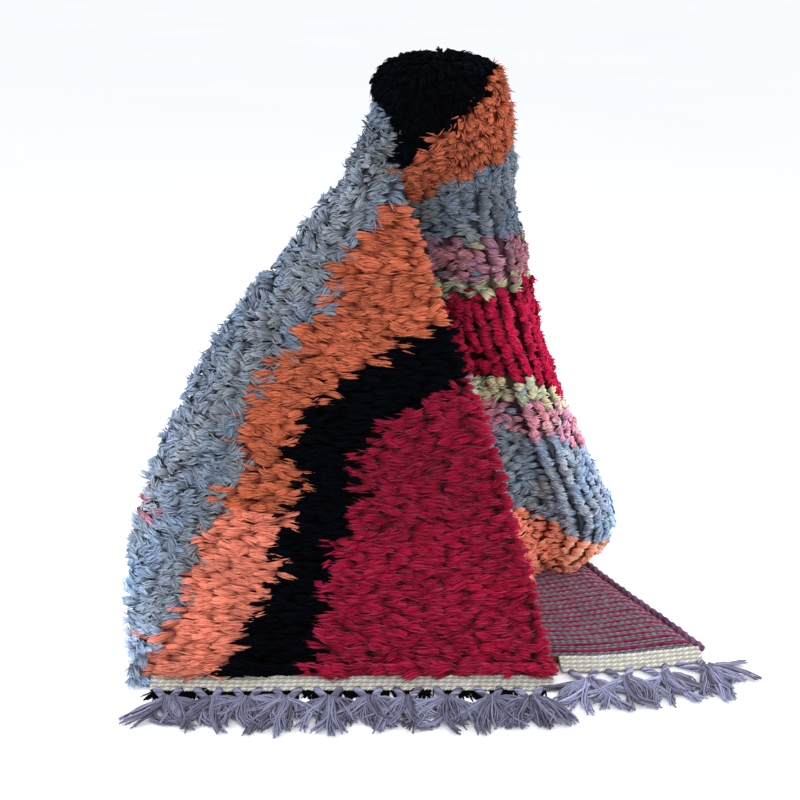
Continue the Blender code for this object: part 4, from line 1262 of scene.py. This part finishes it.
        # the ridge bodies between the locks in painted shade, from the darker tones
        shades = tones(PAINTED_SHADE)[far_wool(share, z, x, 0.0 * x)] * 0.85
        width = np.where(lies_flat(share, z) | (share < -0.06), 0.004, 0.020).reshape(bodies.shape[:2])
        obj = yarns("bulge_ridge_bodies", bodies + ways * 0.003, ways, width, width * 0.68,
                    shades.reshape(*bodies.shape), sides=6, pointed=False)
        finish_piece(obj, "pile_wool", wool_finish("pile"))
        return {"FINISHED"}


class RUG_OT_hood_pile(bpy.types.Operator):
    """Grow the pile of the hood over the peak"""
    bl_idname = "rug.hood_pile"
    bl_label = "Hood pile"

    def execute(self, context):
        _, make = settings()
        rng = np.random.default_rng(14)
        skin, normals = far_half()
        ground = far_ground(skin, normals)
        rows = skin.shape[0]
        front = int(skin.shape[1] * 9 / CORE_COLUMNS)
        tall = lengths_along(ground[:, front])
        parts = []
        for k, height in enumerate(np.arange(np.interp(0.772, ground[:, front, 2], tall), tall[-1], 0.0092)):
            at = np.interp(height, tall, np.arange(rows))
            line, way = between(ground, at), unit(between(normals, at))
            line, way = np.vstack([line, line[:1]]), np.vstack([way, way[:1]])
            parts.append(rooted(line, way, k, make.knot, rng, 0.25 + 0.5 * (k % 2), np.zeros(len(line))))
        roots = gather(parts)
        x, y, z = roots["base"].T
        count = len(x)
        share = far_share(x, y, z)
        stray = rng.normal(0.0, 0.003, count)
        wools = far_wool(share, z, x, stray)
        behind = y > 0.40
        wools[behind] = np.where(z[behind] > 0.86, BLACK,
                                 np.where(z[behind] > 0.82, ORANGE, GREY))
        black = wools == BLACK
        dome = unit((roots["base"] - (0.064, 0.366, 0.895)) / (0.0132, 0.0081, 0.0085))
        blend = np.clip((z - 0.915) / 0.03, 0.0, 1.0)[:, None]
        roots["normal"] = unit(roots["normal"] * (1 - blend) + dome * blend)
        down = roots["normal"] * roots["normal"][:, 2:3] - (0.0, 0.0, 1.0)
        down = unit(down + unit((roots["base"] - (0.064, 0.366, 0.0)) * (1, 1, 0)) * 0.05)
        aside = unit(np.cross(roots["normal"], down))
        combed = ~black & (share < 0.46) & (z < 0.87)
        way = np.where(rng.random(count) < 0.5, -1.0, 1.0)
        turn = (np.where(combed, way * (math.pi / 2 + 0.15), 0.0)
                + rng.normal(0.0, np.where(combed, 0.15, 0.5)))
        lie = down * np.cos(turn)[:, None] + aside * np.sin(turn)[:, None]
        lift = np.where(black, 0.12, np.where(combed, 0.22, 0.72))
        length = np.where(black, make.strand * 0.86, make.strand * np.where(combed, 1.1, 0.78))
        sunk = np.interp(z, (0.90, 0.975), (-0.009, -0.001))
        # the hood's pile painted darker all over as painted shade
        for name, kept in (("hood_pile_black", black), ("hood_pile", ~black)):
            dark = "black" in name
            grow(name, only(roots, kept), wools[kept], lie[kept], lift[kept], length[kept], make.tuft * 1.2,
                 3 if dark else 6, rng, spread=0.10 if dark else 0.34, curl=0.005,
                 ruffle=0.08 if dark else 0.25, thick=sunk[kept], painted_lighting=0.76, plump=0.6 if dark else 0.75,
                 around=not dark, faces=4 if dark else 5, finish="black_pile" if dark else "pile")
        return {"FINISHED"}


def strip_edges():
    """Edges and bundle places of the front and the back end strip, as the solids have them."""
    near = near_half()
    outer, grid = near["outer"], near["coarse"]
    fold = int(np.argmin(outer[0, :, 0]))
    low, high = outer[0, :fold + 1], outer[1, :fold + 1]
    lean = np.minimum((high[:, 1] - low[:, 1]) / (high[:, 2] - low[:, 2]), STRIP_LEAN)
    seat_x, seat_y = low[::-1, 0], (low[:, 1] + (STRIP_TOP - low[:, 2]) * lean)[::-1]
    edge_x, fold_x = 0.244, -0.410
    count = int((edge_x - fold_x) / BUNDLE_PITCH)
    pitch = (edge_x - fold_x) / count

    def front(run):
        x = edge_x + 0.008 - np.asarray(run, dtype=float)
        near_fold = np.maximum(0.0, (fold_x + 0.045 - x) / 0.045)
        y = np.interp(x, seat_x, seat_y) - 1.5 * SKIN_GAP - 0.003 * near_fold
        back = np.stack([x, y, np.full_like(x, STRIP_TOP)], axis=-1)
        fore = np.stack([x, y - STRIP_LEAN * STRIP_TOP, np.zeros_like(x)], axis=-1)
        return back, fore

    fans = [(0.010 + pitch * (k + 0.5), -math.pi / 2 + 0.15 * math.sin(1.7 * k + 0.3) + 0.22 * (k / count)**2)
            for k in range(count)]
    start, end = 0.268, 0.512
    xs = grid[0, COLUMNS // 2:, 0]
    ys = grid[0, COLUMNS // 2:, 1] - 0.0018 - SKIN_GAP

    def rear(run):
        x = start + np.asarray(run, dtype=float)
        y = np.interp(x, xs, ys)
        back = np.stack([x, y + 0.003, np.full_like(x, 0.0150)], axis=-1)
        fore = np.stack([x + 0.004, y - 0.024, np.full_like(x, 0.0015)], axis=-1)
        return back, fore

    step = (end - start) / 4
    rear_fans = [(0.004 + step * (k + 0.5), -math.pi / 2 + (0.06, 0.12, 0.28, 0.74)[k]) for k in range(4)]
    return (("front", front, fans, fans[-1][0] + BUNDLE_PITCH / 2),
            ("back", rear, rear_fans, end - start))


def strip_lift(back, fore):
    """The way up from an end strip, square to it."""
    lift = np.cross(np.gradient(back, axis=0), back - fore)
    return unit(lift * np.where(lift[:, 2:3] < 0, -1.0, 1.0))


class RUG_OT_end_strips(bpy.types.Operator):
    """Make the cream end strips, each of twined rows on a thin woven band"""
    bl_idname = "rug.end_strips"
    bl_label = "End strips"

    def execute(self, context):
        wool, _ = settings()
        cream = np.array(tuple(wool.cream))
        rng = np.random.default_rng(15)
        for name, edges, _, length in strip_edges():
            run = np.linspace(0.0, length, 90)
            back, fore = edges(run)
            lift = strip_lift(back, fore)
            share = np.linspace(0.0, 1.0, 5)[:, None, None]
            under = fore + (back - fore) * share + (0.0, 0.0, 0.0004)
            top = under + lift * 0.0028
            flat = np.stack([np.broadcast_to(run, (5, 90)), np.broadcast_to(share[..., 0] * 0.026, (5, 90))],
                            axis=-1).reshape(-1, 2)
            # the band under the twining in painted shade, its cream darkened
            body = slab(f"{name}_end_strip", top, under, colours=np.tile(cream * 0.55, (900, 1)),
                        flat_map=np.concatenate([flat, flat]))
            face_out(body, tuple(lift[0]))
            finish_piece(body, "end_wool", wool_finish("cream_warp"))
            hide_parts(f"end_fringe_{name}")
            steps = int(length / 0.0023)
            run = np.linspace(0.0, length, steps)
            back, fore = edges(run)
            lift = strip_lift(back, fore)
            inward = unit(back - fore)
            centres, ups, widths, shades = [], [], [], []
            for row, place in enumerate((0.10, 0.37, 0.64, 0.91)):
                line = fore + (back - fore) * place + lift * 0.0032
                line = line + inward * (0.0005 * np.sin(run * 90 + row * 2))[:, None]
                for ply in (0, math.pi):
                    turn = 2 * math.pi * run / 0.0115 * (1 if name == "front" else -1) + ply + row * 1.1
                    centres.append(line + inward * (0.0017 * np.cos(turn))[:, None]
                                   + lift * (0.0011 * np.sin(turn))[:, None])
                    ups.append(lift)
                    widths.append(np.full(steps, 0.0036) * (1 + 0.08 * np.sin(run * 400 + row)))
                    # a slow change along the row, and lighter where a ply rides over the top as painted shade
                    tone = (1.0 + 0.05 * np.sin(run * 130 + row * 1.7) + 0.05 * np.sin(turn))[:, None]
                    tone = tone * (0.80 if ply else 1.08)
                    shades.append(cream * tone * (1 + rng.normal(0, 0.03, (steps, 1))))
            twine = yarns(f"{name}_strip_twining", np.array(centres), np.array(ups), np.array(widths),
                          np.array(widths) * 0.8, np.array(shades), sides=5, pointed=False)
            finish_piece(twine, "end_wool", wool_finish("cream_warp"))
        return {"FINISHED"}


class RUG_OT_under_pile(bpy.types.Operator):
    """Grow black locks on the floor between the fringe's legs, as painted shadow under the end strip"""
    bl_idname = "rug.under_pile"
    bl_label = "Pile under the end strip"

    def execute(self, context):
        _, make = settings()
        rng = np.random.default_rng(19)
        _, edges, _, length = strip_edges()[0]
        run = np.arange(0.012, length - 0.004, 0.0036)
        run = run + rng.normal(0.0, 0.001, len(run))
        run = run[rng.random(len(run)) < np.interp(run, (0.0, 0.25, 0.40, 0.66), (0.35, 0.45, 0.9, 1.0))]
        fore = edges(run)[1]
        count = len(run)
        roots = {"base": fore + np.stack([np.zeros(count), rng.uniform(-0.006, 0.001, count),
                                          np.full(count, 0.0012)], axis=1),
                 "normal": np.tile((0.0, 0.0, 1.0), (count, 1)), "along": np.tile((1.0, 0, 0), (count, 1)),
                 "extra": run, "line": np.zeros(count)}
        lie = unit(np.array((0.0, -1.0, 0.0)) + rng.normal(0, 0.35, (count, 3)) * (1, 0.3, 0))
        # black locks laid on the floor in front of the strip's edge stand for the shadow under it
        grow("under_pile", roots, np.full(count, BLACK), lie, np.full(count, -0.24),
             np.full(count, 0.036), make.tuft * 0.8, 2, rng, spread=0.3, curl=0.001, ruffle=0.03, plump=0.4,
             finish="black_pile")
        return {"FINISHED"}


class RUG_OT_fringes(bpy.types.Operator):
    """Make the knotted warp bundles of both end strips"""
    bl_idname = "rug.fringes"
    bl_label = "Fringes"

    def execute(self, context):
        wool, _ = settings()
        base = np.array(tuple(wool.fringe))
        light = np.array(linear("#a3a4c3"))
        dark = np.array(linear("#4b454f"))
        rng = np.random.default_rng(16)
        up = np.array((0.0, 0.0, 1.0))
        for name, edges, fans, _ in strip_edges():
            thick = {"tassels": ([], [], []), "legs": ([], [], []), "knots": ([], [], [])}

            def add(kind, path, width, colour):
                thick[kind][0].append(path)
                thick[kind][1].append(width)
                thick[kind][2].append(colour)

            def tone(steps):
                mix = np.clip(rng.beta(1.6, 2.4) + 0.12 * np.sin(np.linspace(0, rng.uniform(3, 9), steps)
                                                                 + rng.uniform(0, 6)), 0.0, 1.0)[:, None]
                shade = dark * (1 - mix) + base * mix if rng.random() < 0.45 else \
                    base * (1 - mix) + light * mix
                # the back strip's fringe, the same yarn, painted lighter as painted light
                return shade * rng.uniform(0.8, 1.1) * (1.35 if name == "back" else 1.0)

            for place, heading in fans:
                root = edges(place)[1][:2]
                ahead = np.array((math.cos(heading), math.sin(heading)))
                across = np.array((-ahead[1], ahead[0]))
                knot = root + ahead * KNOT_REACH
                for side in (-1, 1):
                    foot = edges(place + side * LEG_SPREAD)[1][:2]
                    sign = 1.0 if np.dot(foot - root, across) > 0 else -1.0
                    end = knot - ahead * 0.004 + across * sign * 0.003
                    middle = (foot + end) / 2 + across * sign * 0.004
                    for strand in range(8):
                        phase = 2 * math.pi * strand / 8
                        steps = 9
                        t = np.linspace(0.0, 1.0, steps)
                        flat = ((1 - t)[:, None]**2 * foot + 2 * (t * (1 - t))[:, None] * middle
                                + t[:, None]**2 * end)
                        turn = phase + 5.5 * t * sign
                        way = unit(np.gradient(flat, axis=0))
                        normal = np.stack([-way[:, 1], way[:, 0]], axis=1)
                        wide = 0.0050 * (1 - 0.25 * t)
                        flat = flat + normal * (np.cos(turn) * wide)[:, None]
                        z = 0.0050 + 0.0016 * np.sin(t * math.pi) + np.sin(turn) * 0.0030
                        path = np.column_stack([flat, np.maximum(z, 0.0014)])
                        add("legs", path, np.full(steps, 0.0043), tone(steps))
                for wrap in range(4):
                    steps = 13
                    t = np.linspace(0.0, 2 * math.pi, steps)
                    shift = (wrap - 1.5) * 0.0032 + 0.0010 * np.sin(t + wrap)
                    wide = 0.0108 - 0.0008 * (wrap - 1.5)**2
                    flat = knot + np.outer(shift, ahead) + np.outer(np.cos(t) * wide, across)
                    z = 0.0068 + np.sin(t) * (0.0046 - 0.0004 * (wrap - 1.5)**2)
                    add("knots", np.column_stack([flat, z]), np.full(steps, 0.0042), tone(steps))
                for k in range(14):
                    spread = (k + 0.5) / 14 * 2 - 1
                    angle = heading + spread * FAN * 2.6 + rng.normal(0.0, 0.20)
                    reach = LOCK_LENGTH * rng.uniform(0.66, 1.16) * (0.84 - 0.10 * spread * spread)
                    start = math.radians(78) * spread
                    at = (knot + ahead * math.cos(start) * KNOT_RADIUS * 0.5
                          + across * math.sin(start) * KNOT_RADIUS * 1.0)
                    path = [at - ahead * 0.004, at + ahead * 0.004]
                    sway = rng.normal(0.0, 0.55) - 0.35 * spread
                    for step, share in enumerate((0.20, 0.45, 0.35)):
                        turn = angle + sway * (0.0, 0.4, 1.1)[step]
                        at = at + np.array((math.cos(turn), math.sin(turn))) * reach * share
                        path.append(at)
                    steps = 8
                    line = smooth_path([(px, py, 0.0) for px, py in path], steps)[:, :2]
                    way = unit(np.gradient(line, axis=0))
                    normal = np.stack([-way[:, 1], way[:, 0]], axis=1)
                    t = np.linspace(0.0, 1.0, steps)
                    level = rng.uniform(0.0, 0.0055)
                    hue = tone(steps)
                    for strand in range(7):
                        phase = 2 * math.pi * strand / 7 + k
                        turn = phase + rng.uniform(1.5, 3.5) * t
                        wide = (0.0030 + 0.0022 * t) * rng.uniform(0.7, 1.3)
                        crimp = 0.0009 * np.sin(t * rng.uniform(8, 14) + rng.uniform(0, 6))
                        flat = line + normal * (np.cos(turn) * wide + crimp)[:, None]
                        flat = flat + way * (rng.normal(0, 0.005) * t**2)[:, None]
                        z = (0.0080 + level) * (1 - 0.45 * t) + np.sin(turn) * 0.0034 * (1 - 0.2 * t)
                        add("tassels", np.column_stack([flat, np.maximum(z, 0.0014)]),
                            np.linspace(0.0048, 0.0032, steps), hue * 0.5 + tone(steps) * 0.5)
            for kind, (paths, widths, shades) in thick.items():
                paths, widths, shades = np.array(paths), np.array(widths), np.array(shades)
                sides = {"tassels": 3, "legs": 4, "knots": 5}[kind]
                ups = np.broadcast_to(up, paths.shape)
                if kind == "knots":
                    ups = unit(paths - paths.mean(axis=1, keepdims=True))
                piece = yarns(f"{name}_fringe_{kind}", paths, ups, widths, widths * 0.9, shades,
                              sides=sides, pointed=False)
                finish_piece(piece, "end_wool", wool_finish("fringe_yarn"))
        return {"FINISHED"}


class RUG_OT_woven_rows(bpy.types.Operator):
    """Make the raised rows of the woven back where it lies open on the floor"""
    bl_idname = "rug.woven_rows"
    bl_label = "Woven rows of the back"

    def execute(self, context):
        wool, _ = settings()
        grey, crimson = np.array(tuple(wool.back_grey)), np.array(tuple(wool.back_crimson))
        rng = np.random.default_rng(17)
        near = near_half()
        back, normals, rise = near["back"], near["normals"], near["rise"]
        rows, columns = back.shape[:2]
        first = int(near["marks"][7] * (columns - 1))
        steps = 126
        reach = float(rise[-1, columns - 1])
        centres, ups, widths, shades = [], [], [], []
        for k in range(78):
            place = 0.0030 + WOVEN_ROW * k
            at = place / reach * (rows - 1)
            line, way = between(back[:, first:], at), -unit(between(normals[:, first:], at))
            run = lengths_along(line)
            want = np.linspace(0.0, run[-1] - 0.002, steps)
            line = np.stack([np.interp(want, run, line[:, d]) for d in range(3)], axis=1)
            way = unit(np.stack([np.interp(want, run, way[:, d]) for d in range(3)], axis=1))
            red = k % 3 == 2
            beat = np.sin(2 * math.pi * want / (0.0170 if red else 0.0125) + rng.uniform(0, 6.28))
            drift = 0.0004 * np.sin(want * 60 + k)
            inward = unit(np.cross(way, np.gradient(line, axis=0)))
            line = (line + way * (0.0004 + 0.0006 * red + 0.00035 * beat)[:, None]
                    + inward * (drift + 0.0004 * beat * red)[:, None])
            centres.append(line)
            ups.append(way)
            widths.append((0.0070 if red else 0.0054) * (1 + 0.10 * beat))
            slub = np.interp(want, np.linspace(0, want[-1], 60), rng.normal(1.0, 0.14, 60))
            # lighter where the beat lifts the yarn, as painted shade; slub is the yarn's own tone
            tone = (0.80 + 0.26 * beat) * slub
            colour = crimson * 0.8 if red else grey
            mixed = colour * tone[:, None]
            if red:
                worn = np.clip(np.interp(want, np.linspace(0, want[-1], 50), rng.normal(0.1, 0.22, 50)), 0, 1)
                mixed = mixed * (1 - worn[:, None]) + grey * 0.7 * worn[:, None]
            shades.append(mixed)
        obj = yarns("woven_back_rows", np.array(centres), np.array(ups), np.array(widths),
                    np.array(widths) * 0.62, np.array(shades), sides=3, pointed=False)
        finish_piece(obj, "pile_wool", wool_finish("woven_rows"))
        return {"FINISHED"}


class RUG_OT_side_cord(bpy.types.Operator):
    """Make the overcast cord along the free side edge"""
    bl_idname = "rug.side_cord"
    bl_label = "Side cord"

    def execute(self, context):
        wool, _ = settings()
        colour = np.array(tuple(wool.cord))
        bright = np.array(linear("#8c6280"))
        rng = np.random.default_rng(18)
        grid = near_half()["coarse"]
        edge = grid[:, -1]
        out = unit(edge - grid[:, -2])
        path = edge + out * (0.0066 + SIDE_CORD_RADIUS + SKIN_GAP)
        path[:, 2] = np.maximum(path[:, 2] - 0.002, SIDE_CORD_RADIUS * 1.12)
        path = path[path[:, 2] < 0.72]
        steps = 520
        path = smooth_path(path, steps)
        run = lengths_along(path)
        ahead = unit(np.gradient(path, axis=0))
        sides = 10
        side = unit(np.cross(ahead, (0.0, 0.3, 1.0)))
        above = np.cross(side, ahead)
        turns = 2 * math.pi * np.arange(sides) / sides
        twist = 2 * math.pi * run / 0.0360
        ridge = np.abs(np.cos(twist[:, None] + turns[None]))
        radius = SIDE_CORD_RADIUS * (0.88 + 0.62 * ridge) * (1 + 0.05 * np.sin(run * 120))[:, None]
        radius[0] *= 0.5
        radius[-1] *= 0.5
        points = (path[:, None] + side[:, None] * (np.cos(turns)[None] * radius)[..., None]
                  + above[:, None] * (np.sin(turns)[None] * radius)[..., None])
        points[..., 2] = np.maximum(points[..., 2], LOWEST)
        mix = np.clip(0.35 + 0.3 * np.sin(run * 47) + rng.normal(0, 0.12, steps), 0, 1)[:, None, None]
        # darker in the grooves between wraps, as painted shade; the mix with the lighter purple is the yarn's
        # own tone
        shade = (colour * (1 - mix) + bright * mix) * (0.30 + 0.78 * ridge)[..., None]
        r, c = np.meshgrid(np.arange(steps - 1), np.arange(sides), indexing="ij")
        d = (c + 1) % sides
        quads = np.stack([r * sides + c, (r + 1) * sides + c, (r + 1) * sides + d, r * sides + d], axis=-1)
        caps = np.array([np.arange(sides), (steps - 1) * sides + np.arange(sides)[::-1]])
        obj = make_mesh("side_overcasting", points.reshape(-1, 3), [quads.reshape(-1, 4), caps],
                        shade.reshape(-1, 3))
        middle = points[steps // 2].mean(axis=0) - FLOOR_SHIFT
        face = obj.data.polygons[(steps // 2) * sides]
        if face.normal.dot(tuple(np.array(face.center) - middle)) < 0:
            obj.data.flip_normals()
        finish_piece(obj, "side_wool", wool_finish("side_wrapping"))
        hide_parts("side_cord")
        return {"FINISHED"}


class RUG_OT_stage(bpy.types.Operator):
    """Make the pale floor, the soft lights and the camera"""
    bl_idname = "rug.stage"
    bl_label = "Stage"

    def execute(self, context):
        _, make = settings()
        scene = context.scene
        bpy.ops.object.select_all(action="DESELECT")
        bpy.ops.mesh.primitive_plane_add(size=160.0, location=(0.0, 0.0, 0.0))
        floor = context.object
        floor.name = "floor"
        pale = Finish("pale_floor", roughness=0.9, sheen=0.0)
        grain = pale.noise(0.4, 2.0)
        pale.colour(pale.mix(grain, linear("#f4f5f7"), linear("#fbfbfb")))
        floor.data.materials.append(pale.material)

        world = bpy.data.worlds.new("soft_surround")
        world.use_nodes = True
        sky = world.node_tree.nodes["Background"]
        sky.inputs["Color"].default_value = (0.96, 0.98, 1.0, 1.0)
        sky.inputs["Strength"].default_value = make.sky
        scene.world = world

        def panel(name, place, target, size, power, colour):
            light = bpy.data.lights.new(name, "AREA")
            light.shape = "SQUARE"
            light.size = size
            light.energy = power
            light.color = colour
            lamp = bpy.data.objects.new(name, light)
            scene.collection.objects.link(lamp)
            lamp.location = place
            way = np.array(target) - np.array(place)
            flat = math.hypot(way[0], way[1])
            lamp.rotation_euler = (math.atan2(flat, -way[2]), 0.0, math.atan2(-way[0], way[1]))

        panel("front_softbox", (0.9, -2.6, 2.9), (0.0, 0.0, 0.4), 1.8, make.key_light, (1.0, 0.98, 0.95))
        panel("left_softbox", (-2.6, -0.2, 1.9), (0.0, 0.1, 0.4), 1.6, make.side_light, (0.80, 0.90, 1.0))
        panel("right_softbox", (2.4, 0.6, 1.8), (0.1, 0.1, 0.4), 1.6, make.side_light * 0.8,
              (0.88, 0.94, 1.0))

        lens = bpy.data.cameras.new("photo_camera")
        lens.lens = 54.0
        lens.sensor_width = 36.0
        lens.clip_end = 200.0
        camera = bpy.data.objects.new("photo_camera", lens)
        scene.collection.objects.link(camera)
        camera.location = (-0.0759, -1.8814, 1.12)
        camera.rotation_euler = (math.radians(70.0), 0.0, 0.0)
        scene.camera = camera
        scene.view_settings.view_transform = "Standard"
        return {"FINISHED"}


class RUG_PT_panel(bpy.types.Panel):
    """Steps and settings of the rug"""
    bl_idname = "RUG_PT_panel"
    bl_label = "Wrapped rug"
    bl_space_type = "VIEW_3D"
    bl_region_type = "UI"
    bl_category = "Rug"

    def draw(self, context):
        for step in STEPS:
            self.layout.operator(step.bl_idname)
        for group in (context.scene.rug_wool, context.scene.rug_make):
            box = self.layout.box()
            for key in group.__annotations__:
                box.prop(group, key)


STEPS = (RUG_OT_stage, RUG_OT_near_cloth, RUG_OT_far_cloth, RUG_OT_flap_pile, RUG_OT_wall_pile,
         RUG_OT_bulge_pile, RUG_OT_hood_pile, RUG_OT_woven_rows, RUG_OT_end_strips, RUG_OT_under_pile,
         RUG_OT_fringes, RUG_OT_side_cord)
CLASSES = (RugWool, RugMake, *STEPS, RUG_PT_panel)


def register():
    for item in CLASSES:
        bpy.utils.register_class(item)
    bpy.types.Scene.rug_wool = bpy.props.PointerProperty(type=RugWool)
    bpy.types.Scene.rug_make = bpy.props.PointerProperty(type=RugMake)


def unregister():
    del bpy.types.Scene.rug_make
    del bpy.types.Scene.rug_wool
    for item in reversed(CLASSES):
        bpy.utils.unregister_class(item)


def main():
    register()
    for step in STEPS:
        group, name = step.bl_idname.split(".")
        getattr(getattr(bpy.ops, group), name)()
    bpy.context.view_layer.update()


if __name__ == "__main__":
    main()
